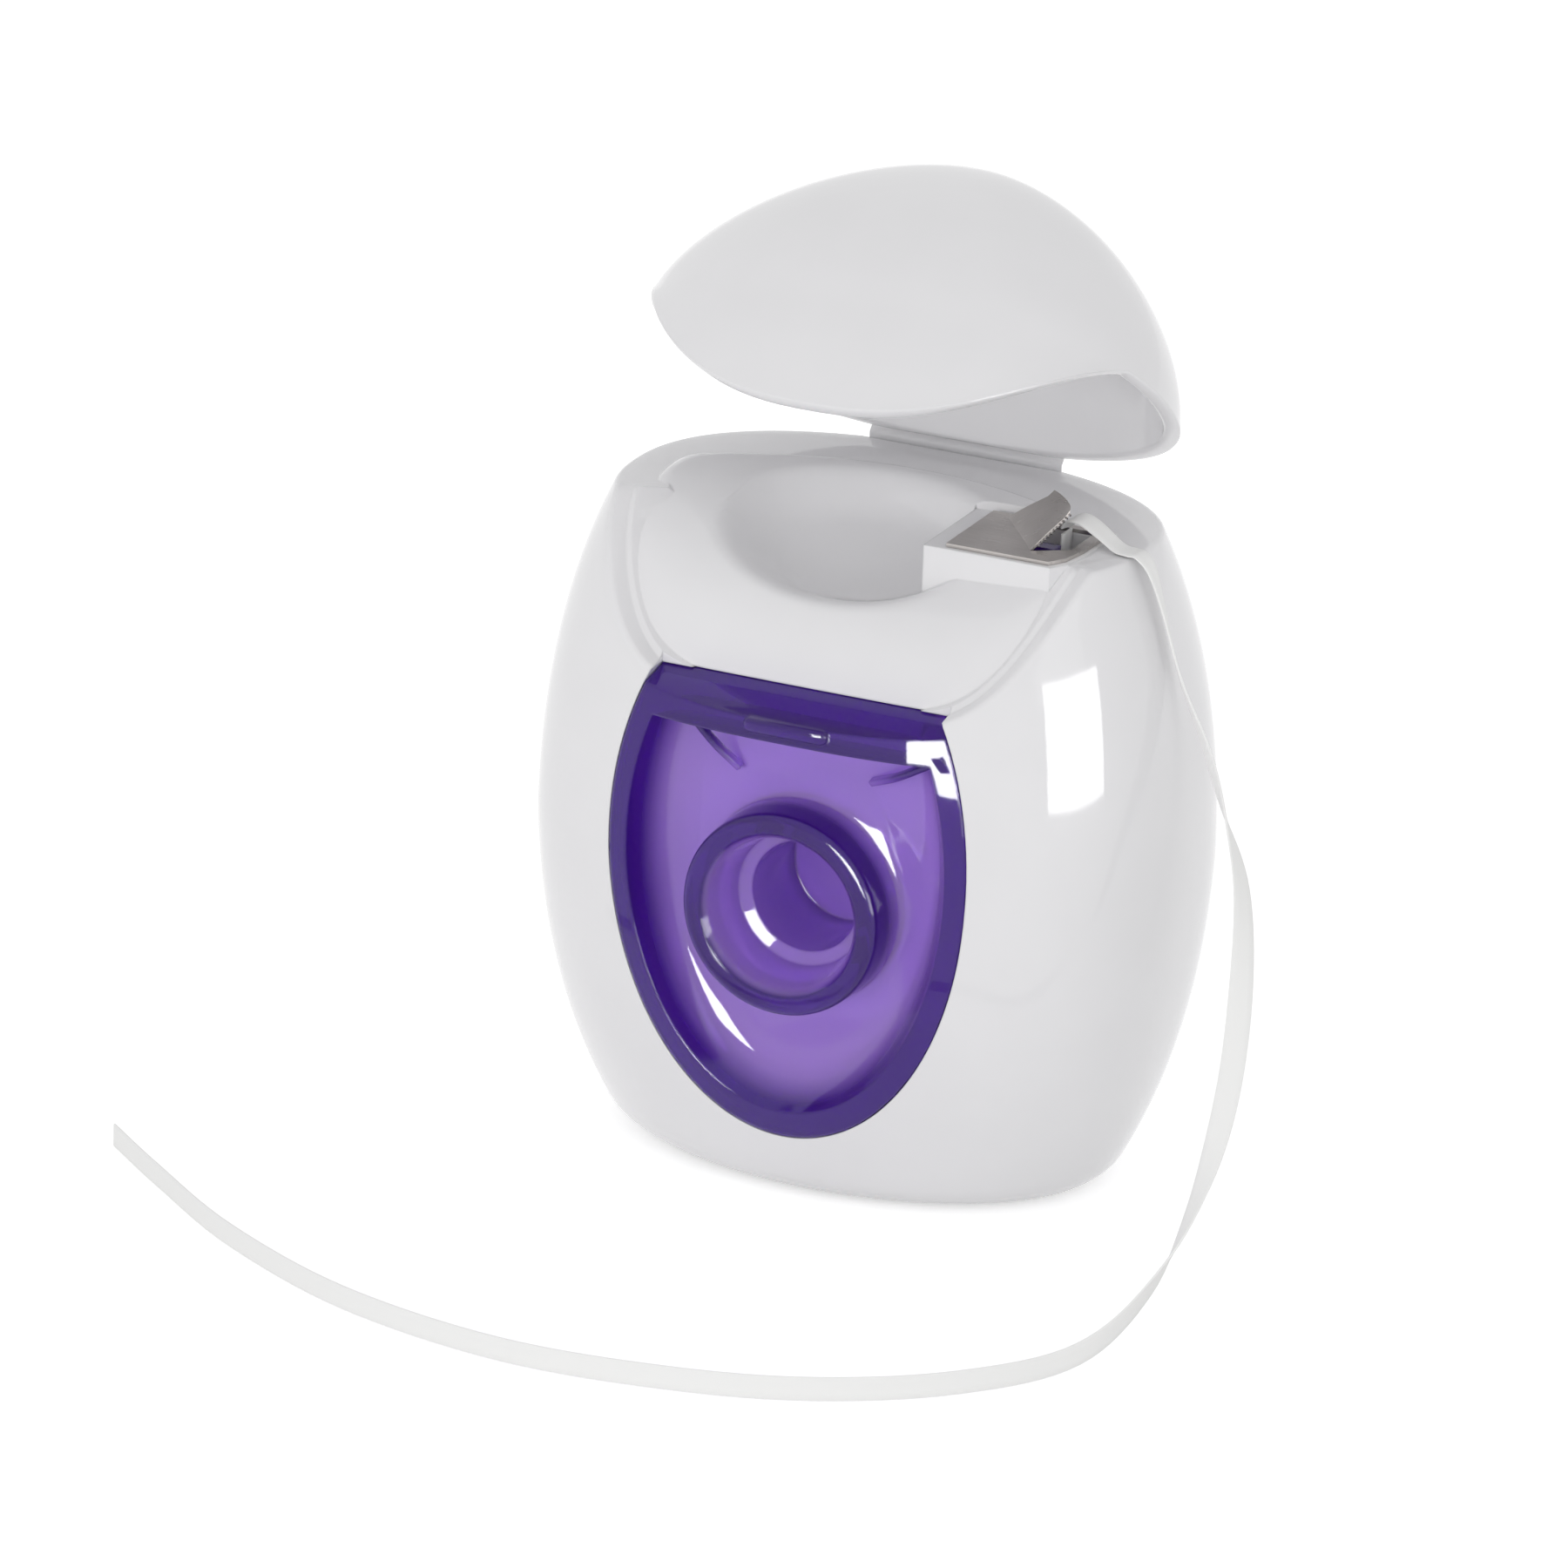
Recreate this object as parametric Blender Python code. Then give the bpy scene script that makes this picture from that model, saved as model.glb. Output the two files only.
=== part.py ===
"""A flip-top dental floss dispenser: case, lid on a web hinge, window insert, cutter and wound floss.

Metres, +Z up, front towards -Y. The origin is at the middle of the base, on the surface it stands on.
"""

import math

import bmesh
import bpy
from mathutils import Matrix, Vector

# Case form
CASE_HALF_WIDTH = 0.02005
CASE_HALF_DEPTH = 0.01394
CASE_HEIGHT = 0.04005
WIDEST_HEIGHT = 0.02027
DEEPEST_HEIGHT = 0.02264
BASE_FILLET = 0.00193
CASE_WALL = 0.0018
CASE_FLOOR = 0.0016
FLOOR_FILLET = 0.0012
DECK_THICKNESS = 0.0052
width_drop_share, width_rise_share = 1.4346, 1.5339
depth_drop_share, depth_rise_share = 1.2367, 1.8696
width_low_power, width_high_power = 2.18, 2.31
depth_low_power, depth_high_power = 2.61, 1.79
base_plan_power, middle_plan_power, rim_plan_power = 1.98, 2.69, 2.32

# Seam between case and lid
SEAM_LOW = 0.0312
SEAM_HALF_WIDTH = 0.0152
LID_GAP = 0.0004
TONGUE_LOW = 0.0320
case_seam_power, lid_seam_power = 5.0, 2.5

# Neck, rear ledge and finger scoop
NECK_INSET = 0.0013
NECK_LOW = 0.0310
NECK_HEIGHT = 0.00985
NECK_LENGTH = 0.01505
NECK_SHOULDER = 0.0030
NECK_WALL = 0.0017
neck_front_power, neck_corner_power = 2.1, 12.0
CREST_MIDDLE = 0.0044
CREST_HALF_WIDTH = 0.0128
CREST_SAG = 0.0043
SCOOP_HALF_WIDTH = 0.0076
SCOOP_HALF_LENGTH = 0.0074
SCOOP_DEPTH = 0.0030
SCOOP_BACK = 0.0034
SCOOP_OFF_CENTRE = 0.0005
SCOOP_DROP = 0.0003
scoop_tilt = math.radians(16)

# Lid
LID_RISE = 0.01342
LID_WALL = 0.0010
lid_open = math.radians(41)
lid_width_power, lid_front_power, lid_rear_power = 1.68, 1.40, 1.30
lid_top_plan_power = 2.1

# Web hinge
WEB_HALF_WIDTH = 0.0062
WEB_THICKNESS = 0.0004
WEB_LEG = 0.00075
WEB_INSET = 0.0003
PART_GAP = 0.0003

# Cutter and its seat
SEAT_LEFT = 0.0052
SEAT_RIGHT = 0.0139
SEAT_FRONT = 0.0066
SEAT_REAR = 0.0015
SEAT_RISE = 0.0001
SEAT_FOOT = 0.0030
SEAT_LID_CLEARANCE = 0.0004
CUTTER_MARGIN = 0.0003
CUTTER_LEFT_MARGIN = 0.0011
CUTTER_THICKNESS = 0.0003
TAB_LENGTH = 0.0048
TAB_SIDE_GAP = 0.0003
TAB_REAR_RISE = 0.0022
TAB_FRONT_RISE = 0.0010
TAB_TAPER = 0.0016
TAB_ROOT = 0.0012
OPENING_LENGTH = 0.0048
OPENING_WIDTH = 0.0045
OPENING_STRIP = 0.0006
SLOT_LENGTH = 0.0028

# Window insert
WINDOW_HALF_WIDTH = 0.01135
WINDOW_WIDE_HEIGHT = 0.0220
WINDOW_DROP = 0.0175
WINDOW_RISE = 0.0168
LIP_HEIGHT = 0.0318
LIP_INSET = 0.0024
SHELF_FALL = 0.0012
SHELF_THICKNESS = 0.0013
FLANGE_WIDTH = 0.0008
FLANGE_THICKNESS = 0.0009
DISH_RIM = 0.0009
DISH_SIDE = 0.0024
DISH_BOTTOM = 0.0034
DISH_FLOOR_Y = -0.0103
DISH_FLOOR_THICKNESS = 0.0013
THUMB_BAR_LENGTH = 0.0053
THUMB_BAR_HEIGHT = 0.0009
THUMB_BAR_PROUD = 0.0004
RING_RADIUS = 0.00629
RING_MOUTH = 0.00463
WELL_RADIUS = 0.0034
RING_PROUD_Y = -0.01363
WELL_BOTTOM_Y = -0.0040

# Spindle, bobbin and floss
BOBBIN_HEIGHT = 0.01875
BOBBIN_FRONT_Y = -0.0036
BOBBIN_WIDTH = 0.0120
SPINDLE_RADIUS = 0.0050
SPINDLE_WALL = 0.0012
RUNNING_GAP = 0.0004
CORE_WALL = 0.0007
PACK_RADIUS = 0.0096
PACK_MARGIN = 0.0004
TURN_DIAMETER = 0.0009
TURN_COUNT = 7
TAPE_WIDTH = 0.00145
TAPE_THICKNESS = 0.00015
FEED_X = 0.01135

# Floss guide, a thin arm of the insert that stands under the cutter's slot
ARM_WIDTH = 0.0016
ARM_THICKNESS = 0.0010

# Modelling values
OVERRUN = 0.004
RING_POINTS = 72
SIDE_ROWS = 12
LID_ROWS = 11
ROUND_POINTS = 40
TURN_POINTS = 24


def shrink(share, power):
    """Height of a superellipse of radius 1 at this share of its width."""
    return max(0.0, 1.0 - abs(share) ** power) ** (1.0 / power)


def swell(z, middle, drop_share, rise_share, low_power, high_power):
    if z < middle:
        return shrink((middle - z) / (middle * drop_share), low_power)
    return shrink((z - middle) / ((CASE_HEIGHT - middle) * rise_share), high_power)


def half_width(z):
    """Half the outer form's width at a height; above the case the lid carries the form on."""
    if z > CASE_HEIGHT:
        return half_width(CASE_HEIGHT) * shrink((z - CASE_HEIGHT) / LID_RISE, lid_width_power)
    return CASE_HALF_WIDTH * swell(
        z, WIDEST_HEIGHT, width_drop_share, width_rise_share, width_low_power, width_high_power
    )


def half_depth(z, rear=True):
    if z > CASE_HEIGHT:
        power = lid_rear_power if rear else lid_front_power
        return half_depth(CASE_HEIGHT) * shrink((z - CASE_HEIGHT) / LID_RISE, power)
    return CASE_HALF_DEPTH * swell(
        z, DEEPEST_HEIGHT, depth_drop_share, depth_rise_share, depth_low_power, depth_high_power
    )


def plan_power(z):
    if z < WIDEST_HEIGHT:
        return base_plan_power + (middle_plan_power - base_plan_power) * z / WIDEST_HEIGHT
    if z < CASE_HEIGHT:
        share = (z - WIDEST_HEIGHT) / (CASE_HEIGHT - WIDEST_HEIGHT)
        return middle_plan_power + (rim_plan_power - middle_plan_power) * share
    share = min(1.0, (z - CASE_HEIGHT) / LID_RISE)
    return rim_plan_power + (lid_top_plan_power - rim_plan_power) * share


def base_inset(z, fillet=BASE_FILLET):
    if z >= fillet:
        return 0.0
    return fillet - math.sqrt(fillet * fillet - (fillet - z) ** 2)


def form_point(angle, z, inset=0.0):
    """Point of the outer form, drawn in by inset, in the direction of an angle seen from above."""
    power = 2.0 / plan_power(z)
    across, along = math.cos(angle), math.sin(angle)
    x = max(0.0, half_width(z) - inset) * math.copysign(abs(across) ** power, across)
    y = max(0.0, half_depth(z, along > 0) - inset) * math.copysign(abs(along) ** power, along)
    return Vector((x, y, z))


def form_x(y, z, inset):
    """Half-width of the form at a height and a distance from its middle plane."""
    share = min(1.0, abs(y) / (half_depth(z) - inset))
    return (half_width(z) - inset) * shrink(share, plan_power(z))


def form_y(x, z, inset=0.0):
    share = min(1.0, abs(x) / (half_width(z) - inset))
    return (half_depth(z) - inset) * shrink(share, plan_power(z))


def seam_line(x, low, power):
    share = min(1.0, abs(x) / SEAM_HALF_WIDTH)
    return low + (CASE_HEIGHT - low) * share**power


def seam_height(angle, low, power):
    """Height at which the seam crosses the outer form: curved at the front, level at the back."""
    if math.sin(angle) >= 0:
        return CASE_HEIGHT
    below, above = low, CASE_HEIGHT
    for _ in range(40):
        middle = (below + above) / 2
        if middle < seam_line(form_point(angle, middle).x, low, power):
            below = middle
        else:
            above = middle
    return above


def ring_angles(count=RING_POINTS):
    return [math.tau * (step + 0.5) / count for step in range(count)]


def smooth_step(share):
    share = min(1.0, max(0.0, share))
    return share * share * (3 - 2 * share)


def mesh_object(name, vertices, faces):
    mesh = bpy.data.meshes.new(name)
    mesh.from_pydata([tuple(vertex) for vertex in vertices], [], faces)
    mesh.update()
    built = bpy.data.objects.new(name, mesh)
    bpy.context.scene.collection.objects.link(built)
    return built


def face_out(built):
    sheet = bmesh.new()
    sheet.from_mesh(built.data)
    bmesh.ops.recalc_face_normals(sheet, faces=sheet.faces)
    if sheet.calc_volume(signed=True) < 0:
        bmesh.ops.reverse_faces(sheet, faces=sheet.faces)
    sheet.to_mesh(built.data)
    sheet.free()
    return built


def loft(name, rings, start=None, end=None):
    """Closed solid through rings of equal count, ended by a flat face or, where given, by a pole."""
    count = len(rings[0])
    vertices = [point for ring in rings for point in ring]
    faces = []
    for row in range(len(rings) - 1):
        for step in range(count):
            after = (step + 1) % count
            low, high = row * count, (row + 1) * count
            faces.append((low + step, low + after, high + after, high + step))
    last = (len(rings) - 1) * count
    for pole, first in ((start, 0), (end, last)):
        if pole is None:
            faces.append([first + step for step in range(count)])
            continue
        vertices.append(pole)
        faces += [(first + step, first + (step + 1) % count, len(vertices) - 1) for step in range(count)]
    return face_out(mesh_object(name, vertices, faces))


def prism(name, outline, axis, start, end):
    """Solid of a closed outline, extruded along Y ("Y": outline in x, z) or Z ("Z": outline in x, y)."""
    rings = []
    for level in (start, end):
        if axis == "Y":
            rings.append([Vector((across, level, up)) for across, up in outline])
        else:
            rings.append([Vector((across, up, level)) for across, up in outline])
    return loft(name, rings)


def box(name, low, high, bevel=0.0):
    outline = [(low[0], low[1]), (high[0], low[1]), (high[0], high[1]), (low[0], high[1])]
    built = prism(name, outline, "Z", low[2], high[2])
    if bevel:
        sheet = bmesh.new()
        sheet.from_mesh(built.data)
        bmesh.ops.bevel(sheet, geom=sheet.edges[:], offset=bevel, segments=2, affect="EDGES", profile=0.5)
        sheet.to_mesh(built.data)
        sheet.free()
    return built


def turned_about_y(name, profile, height, count=ROUND_POINTS):
    """Solid of revolution about a level axis along Y at a height; the profile is (radius, y) pairs."""
    rings = []
    for radius, y in profile:
        rings.append(
            [
                Vector((radius * math.cos(angle), y, height + radius * math.sin(angle)))
                for angle in ring_angles(count)
            ]
        )
    return loft(name, rings)


def tube_about_y(name, outer, inner, start, end, height, count=ROUND_POINTS):
    rings = []
    for radius, y in ((outer, start), (outer, end), (inner, end), (inner, start), (outer, start)):
        rings.append(
            [
                Vector((radius * math.cos(angle), y, height + radius * math.sin(angle)))
                for angle in ring_angles(count)
            ]
        )
    return closed_loop(name, rings[:-1])


def closed_loop(name, rings):
    """Closed ring-shaped solid: the last ring joins the first again."""
    count = len(rings[0])
    vertices = [point for ring in rings for point in ring]
    faces = []
    for row in range(len(rings)):
        low, high = row * count, (row + 1) % len(rings) * count
        for step in range(count):
            after = (step + 1) % count
            faces.append((low + step, low + after, high + after, high + step))
    return face_out(mesh_object(name, vertices, faces))


def ribbon(name, points, widths, width, thickness):
    """Flat strip along points, with its width in the direction given for each point."""
    rings = []
    for step, point in enumerate(points):
        before, after = points[max(0, step - 1)], points[min(len(points) - 1, step + 1)]
        run = (after - before).normalized()
        across = (widths[step] - run * widths[step].dot(run)).normalized() * (width / 2)
        through = run.cross(across).normalized() * (thickness / 2)
        rings.append(
            [point + across + through, point - across + through, point - across - through, point + across - through]
        )
    return loft(name, rings)


def helper(built):
    built.hide_render = True
    built.display_type = "WIRE"
    return built


def combine(built, other, operation):
    change = built.modifiers.new(other.name, "BOOLEAN")
    change.operation = operation
    change.object = helper(other)
    change.solver = "EXACT"
    return built


def material(name, colour, roughness, metallic=0.0, transmission=0.0):
    made = bpy.data.materials.new(name)
    made.use_nodes = True
    shader = made.node_tree.nodes["Principled BSDF"]
    shader.inputs["Base Color"].default_value = (*colour, 1.0)
    shader.inputs["Roughness"].default_value = roughness
    shader.inputs["Metallic"].default_value = metallic
    shader.inputs["Transmission Weight"].default_value = transmission
    return made


def finish(built, name, coat, sharp_degrees=35):
    built.name = name
    built.data.name = name
    built.data.materials.clear()
    built.data.materials.append(coat)
    built.data.shade_smooth()
    built.data.set_sharp_from_angle(angle=math.radians(sharp_degrees))
    return built


def outer_form(name, inset, top):
    """The whole outer form, drawn in by inset, from the base up to a height."""
    levels = [BASE_FILLET * share for share in (0.0, 0.12, 0.32, 0.62, 1.0)]
    levels += [BASE_FILLET + (top - BASE_FILLET) * step / SIDE_ROWS for step in range(1, SIDE_ROWS + 1)]
    return loft(
        name, [[form_point(angle, z, inset + base_inset(z)) for angle in ring_angles()] for z in levels]
    )


def case_body():
    """The case up to the seam: the front is cut low for the lid's tongue, the back is a level ledge."""
    angles = ring_angles()
    seams = [seam_height(angle, SEAM_LOW, case_seam_power) for angle in angles]
    rings = []
    for share in (0.0, 0.12, 0.32, 0.62):
        z = BASE_FILLET * share
        rings.append([form_point(angle, z, base_inset(z)) for angle in angles])
    for row in range(SIDE_ROWS + 1):
        rings.append(
            [
                form_point(angle, BASE_FILLET + (seam - BASE_FILLET) * row / SIDE_ROWS)
                for angle, seam in zip(angles, seams)
            ]
        )
    for inset, rise in ((NECK_INSET - PART_GAP, 0.0), (NECK_INSET, PART_GAP), (NECK_INSET + NECK_WALL, PART_GAP)):
        ledge = [form_point(angle, seam, inset) for angle, seam in zip(angles, seams)]
        rings.append(
            [
                Vector((point.x, point.y, min(point.z + rise * (point.y < 0), CASE_HEIGHT)))
                for point in ledge
            ]
        )
    return loft("case_body", rings, end=Vector((0, 0, SEAM_LOW)))


def crest_sag(x):
    return CREST_SAG * (x / CREST_HALF_WIDTH) ** 2


def crest_line(x):
    """Back edge of the neck: an arc, furthest back in the middle."""
    return CREST_MIDDLE - crest_sag(x)


def neck_length(z):
    """How far the neck reaches forward from the middle of its crest at a height."""
    return NECK_LENGTH * shrink((z - NECK_LOW) / NECK_HEIGHT, 2.0) ** (2 / neck_front_power)


def neck_ring(share):
    """One level of the neck: share runs from 0 at its foot to 1 at its crest."""
    turn = math.pi / 2 * share
    z = NECK_LOW + NECK_HEIGHT * math.sin(turn)
    length = neck_length(z)
    inset = NECK_INSET + NECK_SHOULDER * (1 - math.cos(turn)) ** 2
    ring = []
    for angle in ring_angles():
        point = form_point(angle, min(z, CASE_HEIGHT), inset)
        side = CREST_MIDDLE - point.y
        front = length + crest_sag(point.x) * share**3
        if side > 0:
            near = min(side, front)
            side = near * (1 + (near / max(side, front)) ** neck_corner_power) ** (-1 / neck_corner_power)
        ring.append(Vector((point.x, CREST_MIDDLE - side, z)))
    return ring


def neck():
    """The neck inside the lid: its front leans back and rounds over to a crest, where it ends."""
    rings = [neck_ring(step / 12) for step in range(12)]
    rings.append(neck_ring(0.97))
    built = loft("neck", rings)
    top = NECK_LOW + NECK_HEIGHT
    steps = [CREST_HALF_WIDTH * 1.4 * step / 12 for step in range(-12, 13)]
    outline = [(x, crest_line(x)) for x in steps]
    outline += [(steps[-1], CASE_HALF_DEPTH), (steps[0], CASE_HALF_DEPTH)]
    behind = prism("behind_crest", outline, "Z", CASE_HEIGHT - NECK_WALL, top + OVERRUN)
    return combine(built, behind, "DIFFERENCE")


def rear_ledge():
    """Level floor behind the crest, on which the closed lid's rear edge stands."""
    edge = [form_point(math.pi * step / 24, CASE_HEIGHT, NECK_INSET) for step in range(25)]
    outline = [(point.x, point.y) for point in edge]
    steps = [CREST_HALF_WIDTH * step / 6 for step in range(-6, 7)]
    outline += [(x, crest_line(x) - PART_GAP) for x in steps]
    return prism("rear_ledge", outline, "Z", CASE_HEIGHT - DECK_THICKNESS, CASE_HEIGHT)


def seat_outline(margin=0.0, left_margin=0.0):
    """Plan of the cutter's seat: on the right it follows the closed lid's wall and keeps clear of it."""
    front, rear = margin - SEAT_FRONT, SEAT_REAR - margin
    clear = LID_WALL + SEAT_LID_CLEARANCE + margin
    outline = [(SEAT_LEFT + left_margin, front)]
    for share in (0.0, 0.18, 0.4, 1.0):
        y = front + (rear - front) * share
        outline.append((min(SEAT_RIGHT - margin, form_x(y, CASE_HEIGHT, clear)), y))
    return outline + [(SEAT_LEFT + left_margin, rear)]


def opening_edges():
    """Left, right, front and back edges of the opening in the cutter."""
    left = SEAT_LEFT + CUTTER_LEFT_MARGIN + TAB_ROOT
    back = SEAT_REAR - CUTTER_MARGIN - OPENING_STRIP
    return left, left + OPENING_LENGTH, back - OPENING_WIDTH, back


def cavity_inset(angle, z):
    """The wall is thicker behind the seam, where the neck steps in."""
    seam = seam_height(angle, SEAM_LOW, case_seam_power)
    step = NECK_INSET + NECK_WALL - CASE_WALL + PART_GAP
    share = (z - (seam - CASE_WALL - step)) / CASE_WALL
    return CASE_WALL + step * smooth_step(share)


def cavity_point(angle, z, inset):
    """Point of the hollow, which also keeps a wall behind the neck's leaning front."""
    point = form_point(angle, z, cavity_inset(angle, z) + inset)
    if z > NECK_LOW:
        point.y = max(point.y, CREST_MIDDLE + NECK_WALL + inset - neck_length(z))
    return point


def cavity():
    ceiling = CASE_HEIGHT - DECK_THICKNESS
    levels = [CASE_FLOOR + FLOOR_FILLET * share for share in (0.0, 0.3, 1.0)]
    low = levels[-1]
    shares = (0.12, 0.28, 0.45, 0.62, 0.74, 0.80, 0.84, 0.88, 0.92, 0.97)
    levels += [low + (ceiling - low) * share for share in shares]
    rings = []
    for z in levels:
        corner = base_inset(z - CASE_FLOOR, FLOOR_FILLET)
        draw = base_inset(z)
        rings.append([cavity_point(angle, z, corner + draw) for angle in ring_angles()])
    rings.append([cavity_point(angle, ceiling, FLOOR_FILLET) for angle in ring_angles()])
    return loft("cavity", rings)


def window_half_width(z, side=0.0, bottom=0.0):
    reach = WINDOW_DROP - bottom if z < WINDOW_WIDE_HEIGHT else WINDOW_RISE - side
    return (WINDOW_HALF_WIDTH - side) * shrink((z - WINDOW_WIDE_HEIGHT) / reach, 2.0)


def window_outline(side, bottom, top, count=44):
    """Egg outline in x, z, drawn in by side and bottom and cut level at the top."""
    lowest = WINDOW_WIDE_HEIGHT - WINDOW_DROP + bottom
    right = []
    for step in range(1, count // 2):
        turn = math.pi / 2 * step / (count // 2)
        right.append(WINDOW_WIDE_HEIGHT - (WINDOW_WIDE_HEIGHT - lowest) * math.cos(turn))
    right += [WINDOW_WIDE_HEIGHT + (top - WINDOW_WIDE_HEIGHT) * step / 6 for step in range(7)]
    outline = [(0.0, lowest)]
    outline += [(window_half_width(z, side, bottom), z) for z in right]
    outline += [(-window_half_width(z, side, bottom), z) for z in reversed(right)]
    return outline


def lip_y():
    return -(form_y(0, LIP_HEIGHT) - LIP_INSET)


def shelf_underside():
    return LIP_HEIGHT - SHELF_FALL - SHELF_THICKNESS


def above_shelf(name, gap):
    """The space over the insert's shelf, which falls forward from the lip to the case's front."""
    front = -CASE_HALF_DEPTH - OVERRUN
    fall = SHELF_FALL / (form_y(0, LIP_HEIGHT) + lip_y())
    low = LIP_HEIGHT + gap - fall * (lip_y() - front)
    across = WINDOW_HALF_WIDTH + OVERRUN
    rings = []
    for x in (-across, across):
        rings.append(
            [
                Vector((x, lip_y(), LIP_HEIGHT + gap)),
                Vector((x, lip_y(), LIP_HEIGHT + OVERRUN)),
                Vector((x, front, LIP_HEIGHT + OVERRUN)),
                Vector((x, front, low)),
            ]
        )
    return loft(name, rings)


def scoop():
    """Hollow for the finger in the neck's rounded front."""
    sheet = bmesh.new()
    bmesh.ops.create_uvsphere(sheet, u_segments=36, v_segments=18, radius=1.0)
    size = Matrix.Diagonal((SCOOP_HALF_WIDTH, SCOOP_HALF_LENGTH, SCOOP_DEPTH, 1.0))
    place = Matrix.Translation((-SCOOP_OFF_CENTRE, -SCOOP_BACK, CASE_HEIGHT - SCOOP_DROP))
    sheet.transform(place @ Matrix.Rotation(scoop_tilt, 4, "X") @ size)
    mesh = bpy.data.meshes.new("scoop")
    sheet.to_mesh(mesh)
    sheet.free()
    built = bpy.data.objects.new("scoop", mesh)
    bpy.context.scene.collection.objects.link(built)
    return built


def web_notch(name, low, high):
    """Room for the web hinge in the back edge, right through to the outside."""
    reach = WEB_HALF_WIDTH + PART_GAP
    inner = hinge_y() - WEB_THICKNESS / 2 - PART_GAP
    return box(name, (-reach, inner, low), (reach, CASE_HALF_DEPTH + OVERRUN, high))


def hinge_y():
    return form_y(0, CASE_HEIGHT) - WEB_INSET


def hinge_z():
    return CASE_HEIGHT + LID_GAP / 2


def rear_boss():
    """Boss of the case's back wall that fits the hollow end of the insert's spindle."""
    radius = SPINDLE_RADIUS - SPINDLE_WALL - PART_GAP
    front = WELL_BOTTOM_Y + DISH_FLOOR_THICKNESS + PART_GAP
    back = form_y(0, BOBBIN_HEIGHT) - CASE_WALL / 2
    profile = [(radius - PART_GAP, front), (radius, front + PART_GAP), (radius, back)]
    return turned_about_y("rear_boss", profile, BOBBIN_HEIGHT, 32)


def case_shell(coat):
    built = case_body()
    combine(built, rear_ledge(), "UNION")
    combine(built, neck(), "UNION")
    top = CASE_HEIGHT + SEAT_RISE
    combine(built, scoop(), "DIFFERENCE")
    combine(built, prism("seat", seat_outline(), "Z", top - SEAT_FOOT, top), "UNION")
    relief = prism("seat_relief", seat_outline(-PART_GAP, CUTTER_LEFT_MARGIN - PART_GAP), "Z", top, top + OVERRUN)
    combine(built, relief, "DIFFERENCE")
    combine(built, cavity(), "DIFFERENCE")
    combine(built, rear_boss(), "UNION")
    opening = window_outline(FLANGE_WIDTH - PART_GAP, FLANGE_WIDTH - PART_GAP, LIP_HEIGHT + PART_GAP)
    front, inside = -CASE_HALF_DEPTH - OVERRUN, DISH_FLOOR_Y + NECK_WALL + DISH_FLOOR_THICKNESS
    combine(built, prism("window_hole", opening, "Y", front, inside), "DIFFERENCE")
    seat = window_outline(-PART_GAP, -PART_GAP, LIP_HEIGHT + PART_GAP)
    rebate = prism("window_rebate", seat, "Y", front, inside)
    core = outer_form("rebate_core", FLANGE_THICKNESS + PART_GAP, CASE_HEIGHT)
    combine(rebate, core, "DIFFERENCE")
    combine(built, rebate, "DIFFERENCE")
    combine(built, slot_hole(), "DIFFERENCE")
    notch = web_notch("case_notch", hinge_z() - WEB_LEG - PART_GAP, CASE_HEIGHT + OVERRUN)
    combine(built, notch, "DIFFERENCE")
    return finish(built, "case_shell", coat)


def slot_hole():
    """Passage for the floss and its guide, from the hollow case up through the cutter's seat."""
    _, right, front, back = opening_edges()
    low = CASE_HEIGHT - DECK_THICKNESS - OVERRUN / 4
    high = CASE_HEIGHT + OVERRUN
    return box("slot_hole", (right - SLOT_LENGTH, front, low), (right, back, high))


def lid_point(angle, rise, inset):
    """Point of the lid: rise runs from 0 at its rim to 1 at its top."""
    low = seam_height(angle, TONGUE_LOW - LID_GAP, lid_seam_power) + LID_GAP
    high = CASE_HEIGHT + LID_RISE - inset
    z = low + (high - low) * rise
    if z <= CASE_HEIGHT:
        return form_point(angle, z, inset)
    share = (z - CASE_HEIGHT) / (high - CASE_HEIGHT)
    outer = CASE_HEIGHT + LID_RISE * share
    point = form_point(angle, outer, 0.0)
    rim = form_point(angle, CASE_HEIGHT, 0.0)
    inner = form_point(angle, CASE_HEIGHT, inset)
    x = point.x * inner.x / rim.x
    y = point.y * inner.y / rim.y
    return Vector((x, y, z))


def open_turn():
    centre = Vector((0, hinge_y(), hinge_z()))
    turn = Matrix.Rotation(-lid_open, 4, "X")
    return Matrix.Translation(centre) @ turn @ Matrix.Translation(-centre)


def lid_shell(coat):
    """The lid, shaped as it sits closed and then turned open about the web hinge."""
    angles = ring_angles()
    rises = [1 - (1 - step / LID_ROWS) ** 1.5 for step in range(LID_ROWS)]
    outside = [[lid_point(angle, rise, 0.0) for angle in angles] for rise in rises]
    inside = [[lid_point(angle, rise, LID_WALL) for angle in angles] for rise in reversed(rises)]
    top = CASE_HEIGHT + LID_RISE
    built = loft(
        "lid_form",
        inside + outside,
        start=Vector((0, 0, top - LID_WALL)),
        end=Vector((0, 0, top)),
    )
    notch = web_notch("lid_notch", CASE_HEIGHT - LID_GAP, hinge_z() + WEB_LEG + PART_GAP)
    combine(built, notch, "DIFFERENCE")
    for piece in (built, notch):
        piece.data.transform(open_turn())
    move_origin(built, Vector((0, hinge_y(), hinge_z())))
    return finish(built, "lid_shell", coat)


def move_origin(built, place):
    """Puts the object's origin on its joint's axis and leaves its mesh where it is."""
    built.data.transform(Matrix.Translation(-place))
    built.location = place


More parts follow.
